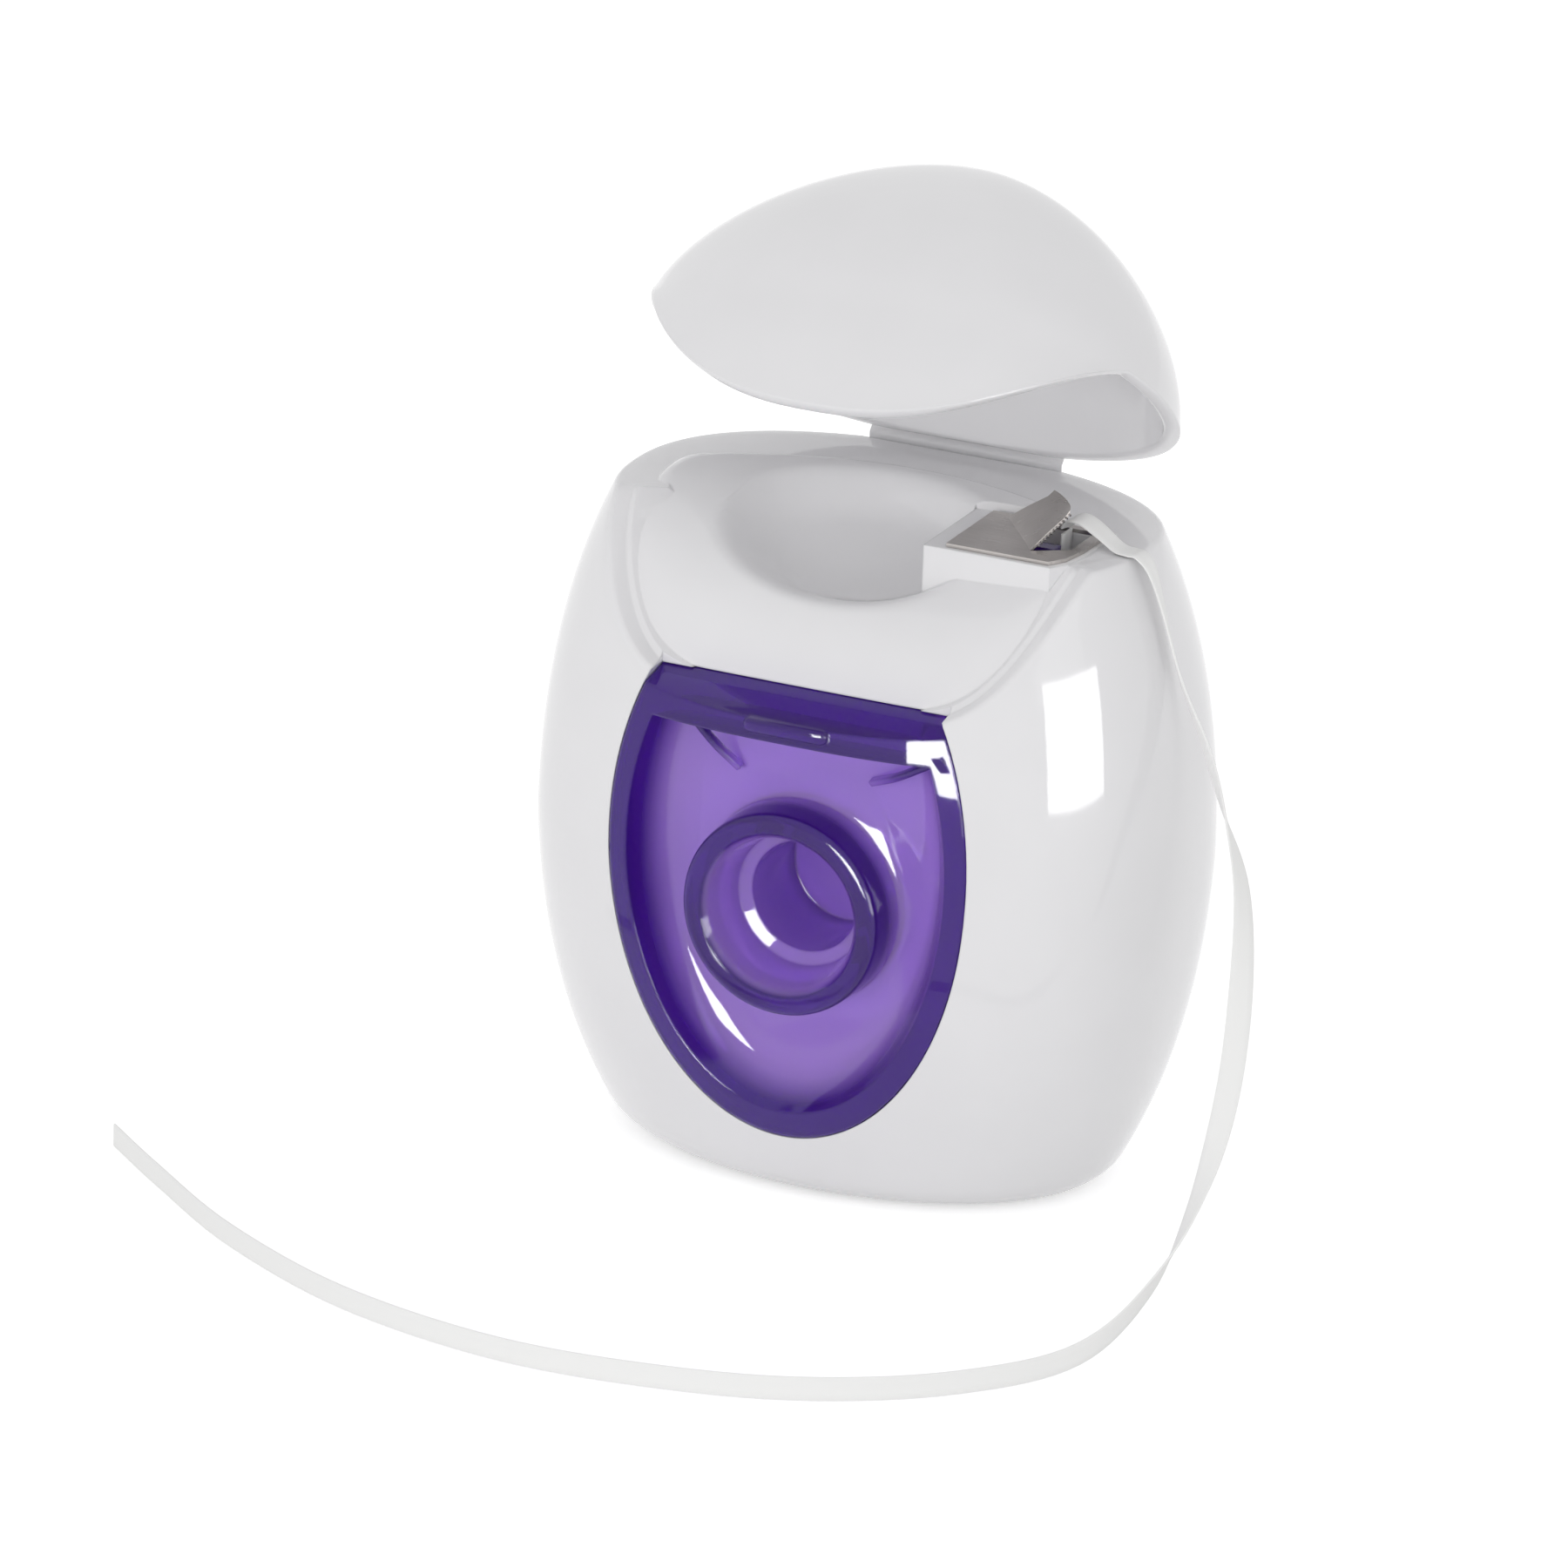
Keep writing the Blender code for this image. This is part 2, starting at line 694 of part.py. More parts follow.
def hinge_web(coat):
    """Thin strip that bends between case and lid, shown with the lid open."""
    y, z = hinge_y(), hinge_z()
    half = WEB_THICKNESS / 2
    lean = Vector((0, math.sin(lid_open), math.cos(lid_open)))
    middle = Vector((0, y, z))
    foot = middle - Vector((0, 0, WEB_LEG))
    turn = Vector((0, math.sin(lid_open / 2), math.cos(lid_open / 2)))
    spine = [foot, middle - Vector((0, 0, WEB_LEG / 3)), middle, middle + lean * (WEB_LEG / 3), middle + lean * WEB_LEG]
    runs = [Vector((0, 0, 1)), Vector((0, 0, 1)), turn, lean, lean]
    rings = []
    for point, run in zip(spine, runs):
        out = Vector((0, run.z, -run.y)) * half
        side = Vector((WEB_HALF_WIDTH, 0, 0))
        rings.append([point - side + out, point + side + out, point + side - out, point - side - out])
    return finish(loft("web", rings), "hinge_web", coat)


def guide_arm():
    """Arm of the insert that rises behind the neck's front and ends under the cutter's slot."""
    _, right, front, back = opening_edges()
    side, y = right - SLOT_LENGTH / 2, front + ARM_THICKNESS * 2
    floor = DISH_FLOOR_Y + DISH_FLOOR_THICKNESS
    tip = CASE_HEIGHT - CUTTER_THICKNESS
    low = shelf_underside()
    edge = window_half_width(low, DISH_SIDE)
    rows = [
        Vector((edge, floor - ARM_THICKNESS / 2, low - ARM_THICKNESS)),
        Vector((edge, floor + ARM_THICKNESS, low)),
        Vector((side, y - ARM_THICKNESS, low + (tip - low) / 3)),
        Vector((side, y, low + (tip - low) / 2)),
        Vector((side, y, tip)),
    ]
    across = [Vector((1, 0, 0))] * len(rows)
    return ribbon("guide_arm", rows, across, ARM_WIDTH, ARM_THICKNESS)


def window_insert(coat):
    """Clear dish in the case's front, with shelf, thumb bar, ring boss and hollow spindle."""
    front, back = -CASE_HALF_DEPTH - OVERRUN, DISH_FLOOR_Y + DISH_FLOOR_THICKNESS
    flange = prism("flange", window_outline(0, 0, LIP_HEIGHT), "Y", front, back)
    combine(flange, outer_form("flange_core", FLANGE_THICKNESS, CASE_HEIGHT), "DIFFERENCE")
    inner = window_outline(FLANGE_WIDTH, FLANGE_WIDTH, LIP_HEIGHT)
    built = prism("insert_form", inner, "Y", front, back)
    combine(built, flange, "UNION")
    combine(built, outer_form("insert_skin", 0.0, CASE_HEIGHT), "INTERSECT")
    combine(built, dish(front), "DIFFERENCE")
    combine(built, above_shelf("above_shelf", 0.0), "DIFFERENCE")
    combine(built, guide_arm(), "UNION")
    combine(built, spindle(), "UNION")
    combine(built, well(), "DIFFERENCE")
    combine(built, thumb_bar(), "UNION")
    return finish(built, "window_insert", coat)


def dish(front):
    """Hollow of the insert: its walls lean in from a narrow rim to the floor."""
    rings = []
    levels = ((front, DISH_RIM, DISH_RIM), (RING_PROUD_Y, DISH_RIM, DISH_RIM), (DISH_FLOOR_Y, DISH_SIDE, DISH_BOTTOM))
    for y, side, bottom in levels:
        outline = window_outline(side, bottom, shelf_underside())
        rings.append([Vector((x, y, z)) for x, z in outline])
    return loft("dish", rings)


def spindle():
    """Ring boss at the front and the hollow bobbin spindle behind it, one turned form."""
    stop = BOBBIN_FRONT_Y - PART_GAP
    end = BOBBIN_FRONT_Y + BOBBIN_WIDTH
    collar = SPINDLE_RADIUS + RUNNING_GAP + CORE_WALL
    socket = SPINDLE_RADIUS - SPINDLE_WALL
    floor = WELL_BOTTOM_Y + DISH_FLOOR_THICKNESS
    lip = (RING_RADIUS - RING_MOUTH) / 4
    profile = [
        (RING_RADIUS - lip, RING_PROUD_Y),
        (RING_RADIUS, RING_PROUD_Y + lip),
        (RING_RADIUS, DISH_FLOOR_Y + DISH_FLOOR_THICKNESS / 2),
        (collar, DISH_FLOOR_Y + DISH_FLOOR_THICKNESS),
        (collar, stop),
        (SPINDLE_RADIUS, stop),
        (SPINDLE_RADIUS, end),
        (socket, end),
        (socket, floor),
    ]
    return turned_about_y("spindle", profile, BOBBIN_HEIGHT)


def well():
    """The ring boss's hollow: a mouth that narrows to a deep round well."""
    lip = (RING_RADIUS - RING_MOUTH) / 4
    profile = [
        (RING_MOUTH + lip + lip, RING_PROUD_Y - lip),
        (RING_MOUTH + lip, RING_PROUD_Y),
        (RING_MOUTH, RING_PROUD_Y + lip),
        (WELL_RADIUS, DISH_FLOOR_Y),
        (WELL_RADIUS, WELL_BOTTOM_Y),
    ]
    return turned_about_y("well", profile, BOBBIN_HEIGHT)


def thumb_bar():
    z = LIP_HEIGHT - SHELF_FALL - THUMB_BAR_HEIGHT / 2
    front = -form_y(0, z) - THUMB_BAR_PROUD
    low = (-THUMB_BAR_LENGTH / 2, front, z - THUMB_BAR_HEIGHT / 2)
    high = (THUMB_BAR_LENGTH / 2, front + FLANGE_THICKNESS, z + THUMB_BAR_HEIGHT / 2)
    return box("thumb_bar", low, high, THUMB_BAR_PROUD / 2)


def cutter_plate(coat):
    """Stainless plate on its seat, with a slot and a tab bent up out of it."""
    low = CASE_HEIGHT + SEAT_RISE + PART_GAP
    high = low + CUTTER_THICKNESS
    left, right, front, back = opening_edges()
    built = prism("plate", seat_outline(CUTTER_MARGIN, CUTTER_LEFT_MARGIN), "Z", low, high)
    opening = box("opening", (left, front, low - OVERRUN), (right, back, high + OVERRUN))
    combine(built, opening, "DIFFERENCE")
    combine(built, cutter_tab(left, front, back, low), "UNION")
    return finish(built, "cutter_plate", coat)


def cutter_tab(left, front, back, low):
    """Tab that rises out of the opening to a rounded tip, its back edge higher than its front edge."""
    rings = []
    root = left - CUTTER_THICKNESS
    for step in range(9):
        share = 1 - (1 - step / 8) ** 1.6
        lift = share**1.4
        pinch = 1 - shrink(max(0.0, (share - 0.55) / 0.45) * 0.97, 2.2)
        x = root + (TAB_LENGTH + CUTTER_THICKNESS) * share
        near = front + TAB_SIDE_GAP + TAB_TAPER * share**2
        far = back - TAB_SIDE_GAP
        middle = (near + far) / 2
        near += (middle - near) * pinch
        far += (middle - far) * pinch
        skew = TAB_FRONT_RISE * share**2
        rise = [TAB_FRONT_RISE * lift, TAB_REAR_RISE * lift]
        average = sum(rise) / 2
        rise = [value + (average - value) * pinch for value in rise]
        rings.append(
            [
                Vector((x + skew * (1 - pinch), near, low + rise[0])),
                Vector((x, far, low + rise[1])),
                Vector((x, far, low + rise[1] + CUTTER_THICKNESS)),
                Vector((x + skew * (1 - pinch), near, low + rise[0] + CUTTER_THICKNESS)),
            ]
        )
    return loft("tab", rings)


def bobbin_core(coat):
    inner = SPINDLE_RADIUS + RUNNING_GAP
    built = tube_about_y(
        "core", inner + CORE_WALL, inner, BOBBIN_FRONT_Y, BOBBIN_FRONT_Y + BOBBIN_WIDTH, BOBBIN_HEIGHT
    )
    move_origin(built, Vector((0, BOBBIN_FRONT_Y, BOBBIN_HEIGHT)))
    return finish(built, "bobbin_core", coat)


def floss_pack(coat):
    inner = SPINDLE_RADIUS + RUNNING_GAP + CORE_WALL + PART_GAP
    start = BOBBIN_FRONT_Y + PACK_MARGIN
    built = tube_about_y(
        "pack", PACK_RADIUS, inner, start, start + BOBBIN_WIDTH - 2 * PACK_MARGIN, BOBBIN_HEIGHT
    )
    move_origin(built, Vector((0, BOBBIN_FRONT_Y, BOBBIN_HEIGHT)))
    return finish(built, "floss_pack", coat)


def winding_points():
    """Centre line of the outer turns: a helix whose ends run straight for one tube diameter."""
    radius = PACK_RADIUS + PART_GAP + TURN_DIAMETER / 2
    start = BOBBIN_FRONT_Y + PACK_MARGIN + TURN_DIAMETER / 2
    run = BOBBIN_WIDTH - 2 * PACK_MARGIN - TURN_DIAMETER
    count = TURN_COUNT * TURN_POINTS
    points = []
    for step in range(count + 1):
        angle = math.tau * step / TURN_POINTS
        y = start + run * step / count
        points.append(Vector((radius * math.cos(angle), y, BOBBIN_HEIGHT + radius * math.sin(angle))))
    return points


def least_gap(points, diameter):
    """Smallest space that a winding leaves between its own turns."""
    least = math.inf
    for first, point in enumerate(points):
        for other in points[first + TURN_POINTS // 2 :]:
            least = min(least, (point - other).length)
    return least - diameter


def curve_tube(name, points, diameter, resolution):
    curve = bpy.data.curves.new(name, "CURVE")
    curve.dimensions = "3D"
    curve.bevel_depth = diameter / 2
    curve.bevel_resolution = resolution
    curve.use_fill_caps = True
    line = curve.splines.new("POLY")
    line.points.add(len(points) - 1)
    for spot, point in zip(line.points, points):
        spot.co = (*point, 1.0)
    built = bpy.data.objects.new(name, curve)
    bpy.context.scene.collection.objects.link(built)
    return built


def floss_winding(coat):
    points = winding_points()
    print("least gap between turns, mm:", round(least_gap(points, TURN_DIAMETER) * 1000, 3))
    place = Vector((0, BOBBIN_FRONT_Y, BOBBIN_HEIGHT))
    built = curve_tube("floss_winding", [point - place for point in points], TURN_DIAMETER, 1)
    built.location = place
    built.data.materials.append(coat)
    return built


def smooth_route(points, steps):
    """Points along a smooth curve through the route's own points."""
    padded = [points[0] * 2 - points[1], *points, points[-1] * 2 - points[-2]]
    read = []
    for index in range(1, len(padded) - 2):
        before, start, end, after = padded[index - 1 : index + 3]
        for step in range(steps):
            t = step / steps
            read.append(
                (
                    start * 2
                    + (end - before) * t
                    + (before * 2 - start * 5 + end * 4 - after) * t**2
                    + (start * 3 - before - end * 3 + after) * t**3
                )
                / 2
            )
    read.append(points[-1])
    return read


# Route of the free floss: its points, and the direction of its width at each
tape_route = (
    ((0.01150, -0.00035, 0.04078), (0.2, 1.0, 0.0)),
    ((0.01185, -0.00035, 0.04130), (0.2, 1.0, 0.1)),
    ((0.01260, -0.00040, 0.04140), (0.2, 1.0, 0.1)),
    ((0.01370, -0.00065, 0.04098), (0.1, 1.0, 0.1)),
    ((0.01460, -0.00085, 0.04050), (0.1, 1.0, 0.0)),
    ((0.01530, -0.00110, 0.04027), (0.1, 1.0, 0.0)),
    ((0.01600, -0.00125, 0.04025), (0.0, 1.0, 0.0)),
    ((0.01668, -0.00138, 0.04020), (0.0, 1.0, 0.0)),
    ((0.01742, -0.00150, 0.03945), (-0.2, 1.0, 0.1)),
    ((0.01825, -0.00160, 0.03740), (-0.4, 1.0, 0.1)),
    ((0.01958, -0.00170, 0.03340), (-0.6, 1.0, 0.0)),
    ((0.02165, -0.00240, 0.02980), (-0.8, 0.9, 0.0)),
    ((0.02350, -0.00380, 0.02680), (-0.6, 0.9, 0.0)),
    ((0.02580, -0.00600, 0.02300), (0.1, 1.0, 0.1)),
    ((0.02730, -0.00900, 0.01820), (0.5, 0.9, 0.4)),
    ((0.02840, -0.01300, 0.01310), (0.6, 0.6, 0.6)),
    ((0.02850, -0.01700, 0.00820), (0.5, 0.3, 0.8)),
    ((0.02760, -0.02120, 0.00400), (0.3, 0.2, 1.0)),
    ((0.02540, -0.02620, 0.00130), (0.1, 0.1, 1.0)),
    ((0.02080, -0.03200, 0.00080), (0.0, 0.0, 1.0)),
    ((0.01400, -0.03700, 0.00080), (0.0, 0.0, 1.0)),
    ((0.00600, -0.03970, 0.00080), (0.0, 0.0, 1.0)),
    ((-0.00400, -0.04070, 0.00080), (0.0, 0.0, 1.0)),
    ((-0.01500, -0.03850, 0.00080), (0.0, 0.0, 1.0)),
    ((-0.02500, -0.03350, 0.00080), (0.0, 0.0, 1.0)),
    ((-0.03300, -0.02750, 0.00080), (0.0, 0.0, 1.0)),
    ((-0.03800, -0.02340, 0.00080), (0.0, 0.0, 1.0)),
)


def floss_tape(coat):
    """The length pulled out: a flat strip over the rim, down to the surface and along it on its edge."""
    points = smooth_route([Vector(point) for point, _ in tape_route], 3)
    widths = smooth_route([Vector(width) for _, width in tape_route], 3)
    length = sum((after - before).length for before, after in zip(points, points[1:]))
    print("free floss, mm:", round(length * 1000, 1))
    return finish(ribbon("tape", points, widths, TAPE_WIDTH, TAPE_THICKNESS), "floss_tape", coat)


def floss_feed(coat):
    """The lead inside the case, from beside the winding up through the slot."""
    start, _ = tape_route[0]
    side = BOBBIN_FRONT_Y + BOBBIN_WIDTH / 3
    exit_point = Vector(start) - Vector((0, 0, PART_GAP))
    rows = [
        Vector((FEED_X, side, BOBBIN_HEIGHT + TURN_DIAMETER)),
        Vector((FEED_X, side, BOBBIN_HEIGHT + PACK_RADIUS)),
        Vector((FEED_X, start[1], CASE_HEIGHT - DECK_THICKNESS)),
        exit_point,
    ]
    across = [Vector((0, 1, 0))] * len(rows)
    return finish(ribbon("feed", rows, across, TAPE_WIDTH, TAPE_THICKNESS), "floss_feed", coat)


def clear_scene():
    for built in list(bpy.data.objects):
        bpy.data.objects.remove(built, do_unlink=True)


def main():
    clear_scene()
    white = material("white_plastic", (0.86, 0.87, 0.88), 0.25)
    purple = material("clear_purple_plastic", (0.25, 0.13, 0.60), 0.08, transmission=0.85)
    steel = material("stainless_steel", (0.62, 0.60, 0.57), 0.35, metallic=1.0)
    natural = material("natural_plastic", (0.80, 0.80, 0.78), 0.5)
    floss = material("waxed_floss", (0.93, 0.93, 0.92), 0.45)
    case_shell(white)
    lid_shell(white)
    hinge_web(white)
    window_insert(purple)
    cutter_plate(steel)
    bobbin_core(natural)
    floss_pack(floss)
    floss_winding(floss)
    floss_feed(floss)
    floss_tape(floss)


main()
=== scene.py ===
"""Looks for a flip-top dental floss dispenser, built around its packed CAD model.

Metres, +Z up, front towards -Y, with the origin in the middle of the base. The lid is shown open.
"""

import math

import bmesh
import bpy
from bpy.props import FloatProperty, FloatVectorProperty, IntProperty, PointerProperty
from mathutils import Matrix, Vector


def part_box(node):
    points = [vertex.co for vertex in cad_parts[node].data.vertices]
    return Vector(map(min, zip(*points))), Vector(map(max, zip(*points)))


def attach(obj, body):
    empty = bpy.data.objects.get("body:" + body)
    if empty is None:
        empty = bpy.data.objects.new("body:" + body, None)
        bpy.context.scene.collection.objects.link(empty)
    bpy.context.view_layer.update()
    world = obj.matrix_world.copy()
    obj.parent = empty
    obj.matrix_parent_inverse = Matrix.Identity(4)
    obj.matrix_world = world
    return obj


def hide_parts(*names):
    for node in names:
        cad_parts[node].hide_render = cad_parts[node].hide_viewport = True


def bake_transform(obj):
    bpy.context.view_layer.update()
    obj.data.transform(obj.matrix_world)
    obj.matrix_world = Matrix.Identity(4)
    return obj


bl_info = {
    "name": "Floss dispenser",
    "version": (1, 0, 0),
    "blender": (4, 5, 0),
    "location": "3D View > Sidebar > Dispenser",
    "description": "Builds the finished look of a flip-top floss dispenser",
    "category": "Object",
}

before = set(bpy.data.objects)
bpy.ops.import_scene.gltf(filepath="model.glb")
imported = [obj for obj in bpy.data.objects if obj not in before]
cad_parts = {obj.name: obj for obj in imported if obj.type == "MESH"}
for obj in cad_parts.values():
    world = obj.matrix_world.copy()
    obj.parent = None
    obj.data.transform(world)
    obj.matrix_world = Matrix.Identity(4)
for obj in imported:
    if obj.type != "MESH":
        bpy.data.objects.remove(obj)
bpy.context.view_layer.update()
mm = 0.001

OVERRUN = 4 * mm  # how far a cut runs past what it cuts
SLOT_OVERRUN = 1 * mm

# Places that the frame gives
pack_low, pack_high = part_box("floss_pack")

# Case form: a rounded body whose width and depth follow superellipses up its height
CASE_HALF_WIDTH = 20.05 * mm
CASE_HALF_DEPTH = 13.94 * mm
CASE_HEIGHT = 40.05 * mm
WIDEST_HEIGHT = 20.27 * mm
DEEPEST_HEIGHT = 22.64 * mm
BASE_FILLET = 1.93 * mm
CASE_WALL = 1.8 * mm
CASE_FLOOR = 1.6 * mm
FLOOR_FILLET = 1.2 * mm
floor_shares = (0.0, 0.3, 1.0)
cavity_shares = (0.12, 0.28, 0.45, 0.62, 0.74, 0.80, 0.84, 0.88, 0.92, 0.97)
DECK_THICKNESS = 5.2 * mm
RIM_RADIUS = 0.25 * mm
DECK_LOW = CASE_HEIGHT - DECK_THICKNESS
CUT_FRONT = -CASE_HALF_DEPTH - OVERRUN
FILLET_STEPS, CASE_ROWS, RIM_STEPS = 8, 34, 4
# Height of the widest or deepest place, then below and above it the reach in shares and the power
width_swell = WIDEST_HEIGHT, 1.4346, 1.5339, 2.18, 2.31
depth_swell = DEEPEST_HEIGHT, 1.2367, 1.8696, 2.61, 1.79
base_plan_power, middle_plan_power, rim_plan_power = 1.98, 2.69, 2.32

# Seam, neck and finger scoop
SEAM_LOW = 31.2 * mm
SEAM_HALF_WIDTH = 15.2 * mm
TONGUE_LOW = 32.0 * mm
LID_GAP = 0.4 * mm
case_seam_power, lid_seam_power = 5.0, 2.5
NECK_INSET = 1.3 * mm
NECK_LOW = 31.0 * mm
NECK_HEIGHT = 9.85 * mm
NECK_LENGTH = 15.05 * mm
NECK_SHOULDER = 3.0 * mm
NECK_WALL = 1.7 * mm
NECK_FOOT = 1 * mm
NECK_ROWS = 64
NECK_TOP_SHARE = 0.9985
neck_front_power, neck_corner_power = 2.1, 30.0
CREST_MIDDLE = 4.4 * mm
CREST_HALF_WIDTH = 12.8 * mm
CREST_SAG = 4.3 * mm
CREST_REACH = 1.4
SCOOP_CENTRE = Vector((-0.5, -3.5, 39.75)) * mm
SCOOP_SIZE = Vector((8.3, 7.9, 3.5)) * mm
SCOOP_EDGE = 2.6 * mm
scoop_tilt = math.radians(16)
scoop_lean = Vector((0, 0.42, -0.91)).normalized()

# Lid
LID_RISE = 13.42 * mm
LID_WALL = 1.0 * mm
lid_open = math.radians(41)
lid_width_power, lid_front_power, lid_rear_power = 1.68, 1.40, 1.30
lid_top_plan_power = 2.1
LID_ROWS, LID_RIM_STEPS = 30, 8
LID_RIM_SOFT = 0.22 * mm
lid_row_power, rim_inset_power, rim_lift_power = 1.5, 0.9, 0.6

# Web hinge
WEB_HALF_WIDTH = 6.2 * mm
WEB_THICKNESS = 0.4 * mm
WEB_LEG = 0.75 * mm
WEB_INSET = 0.3 * mm
WEB_ROWS = 16
PART_GAP = 0.3 * mm

# Cutter: corners in plan, in mm, of its seat, its plate, its opening and its flap
SEAT_RISE = 0.1 * mm
SEAT_FOOT = 3.0 * mm
STEEL_THICKNESS = 0.22 * mm
STEEL_GAP = 0.02 * mm
seat_split = 8 * mm  # corners to the right of it get room beside the plate
seat_plan = ((4.9, -5.9), (12.9, -5.9), (13.6, -4.6), (13.9, -2.6), (13.9, 1.5), (4.9, 1.5))
plate_plan = ((6.2, -5.6), (12.65, -5.6), (13.3, -4.5), (13.6, -2.6), (13.6, 1.1), (6.2, 1.1))
opening_plan = ((7.55, 0.45), (10.95, -4.35), (12.95, -3.0), (12.95, 0.55))
flap_root = ((7.35, 0.35), (10.85, -4.35))
flap_tip = ((10.6, 0.33), (12.45, -1.65))
FLAP_RISES = (2.2 * mm, 2.0 * mm)
FLAP_SINK = 0.12 * mm
flap_lift_power, flap_sink_power, flap_round_power = 0.95, 6, 3
FLAP_ROUND_FROM, FLAP_ROUND = 0.8, 0.09
FLAP_ROWS, FLAP_COLUMNS = 14, 9
teeth_from = Vector((11.25, -3.85, 0.42)) * mm
teeth_to = Vector((12.35, -1.95, 1.92)) * mm
teeth_turn = Vector((math.radians(78), 0, math.radians(56)))
TOOTH = 0.09 * mm
TOOTH_SIDES = 4
tooth_stretch = 1.6

# Window insert
WINDOW_HALF_WIDTH = 11.35 * mm
WINDOW_WIDE_HEIGHT = 22.0 * mm
WINDOW_DROP = 17.5 * mm
WINDOW_RISE = 16.8 * mm
LIP_HEIGHT = 31.8 * mm
LIP_INSET = 2.4 * mm
SHELF_FALL = 1.2 * mm
SHELF_THICKNESS = 1.3 * mm
DISH_FLOOR_Y = -10.3 * mm
DISH_FLOOR_THICKNESS = 1.3 * mm
RING_RADIUS = 6.29 * mm
RING_MOUTH = 4.63 * mm
WELL_RADIUS = 3.4 * mm
RING_PROUD_Y = -13.63 * mm
RING_TAPER, RING_FOOT, RING_CORNER = 0.1 * mm, 0.6 * mm, 0.55 * mm
MOUTH_FLARE, MOUTH_CORNER, WELL_THROAT = 0.45 * mm, 0.3 * mm, 0.75 * mm
FLOOR_STEP = 0.2 * mm
WELL_BOTTOM_Y = -4.0 * mm
DISH_TOP = LIP_HEIGHT - SHELF_FALL - SHELF_THICKNESS
DISH_BACK = DISH_FLOOR_Y + DISH_FLOOR_THICKNESS
WINDOW_EDGE = 0.08 * mm
LIP_CLEAR = 2 * mm
HOLE_DEPTH = 2.4 * mm
RIB_WIDTH, RIB_THICKNESS = 0.5 * mm, 0.35 * mm
RIB_LEAN = Vector((0, 1, 0.4))
ARM_WIDTH, ARM_THICKNESS = 1.6 * mm, 1.0 * mm
ARM_SIDE, ARM_Y, ARM_TOP_GAP = 10.9 * mm, -1.9 * mm, 0.1 * mm
ARM_INSET = 2.4 * mm

# Hollow of the insert: how far its outline is drawn in at the sides and at the bottom, in mm, at
# its mouth, at levels of y and at its floor
dish_mouth, dish_floor = (0.80, 0.80), (3.9, 5.1)
dish_levels = (
    (-14.2, 0.80, 0.80),
    (-13.4, 0.95, 0.95),
    (-11.6, 1.9, 2.3),
    (-10.75, 2.5, 3.2),
    (-10.42, 3.0, 3.9),
)

# Thumb bar under the shelf's front edge: stations along it, each with its share of full size
THUMB_BAR = 0.5 * mm, 0.45 * mm
THUMB_BAR_PROUD = 0.4 * mm
thumb_bar_power = 0.6
thumb_stations = ((-2.65, 0.5), (-2.5, 0.8), (-2.3, 1.0), (2.3, 1.0), (2.5, 0.8), (2.65, 0.5))

# Ribs under the shelf, in mm
rib_points = (
    ((-6.4, -12.7, 29.9), (-5.3, -11.6, 27.9), (-4.1, -10.6, 26.3)),
    ((9.6, -12.3, 29.9), (8.0, -11.9, 28.9), (6.2, -11.3, 27.8), (4.3, -10.5, 26.9)),
)

# Spindle, bobbin and floss
BOBBIN_HEIGHT = (pack_low.z + pack_high.z) / 2
BOBBIN_FRONT_Y = -3.6 * mm
BOBBIN_WIDTH = 12.0 * mm
SPINDLE_RADIUS = 5.0 * mm
SPINDLE_WALL = 1.2 * mm
RUNNING_GAP = 0.4 * mm
CORE_WALL = 0.7 * mm
CORE_RADIUS = SPINDLE_RADIUS + RUNNING_GAP + CORE_WALL
PACK_RADIUS = 9.6 * mm
PACK_MARGIN = 0.4 * mm
TAPE_THICKNESS = 0.15 * mm
FEED_X = 11.35 * mm
FEED_START = 0.9 * mm
TURN_POINTS, THREAD_SIDES = 96, 10
WINDING_GAP, BODY_GAP = 0.1 * mm, 0.05 * mm
LAYER_RIDGE = 0.12 * mm
PACK_LAYERS, LAYER_STEPS = 12, 4
ROUTE_STEPS, RIB_STEPS = 8, 6

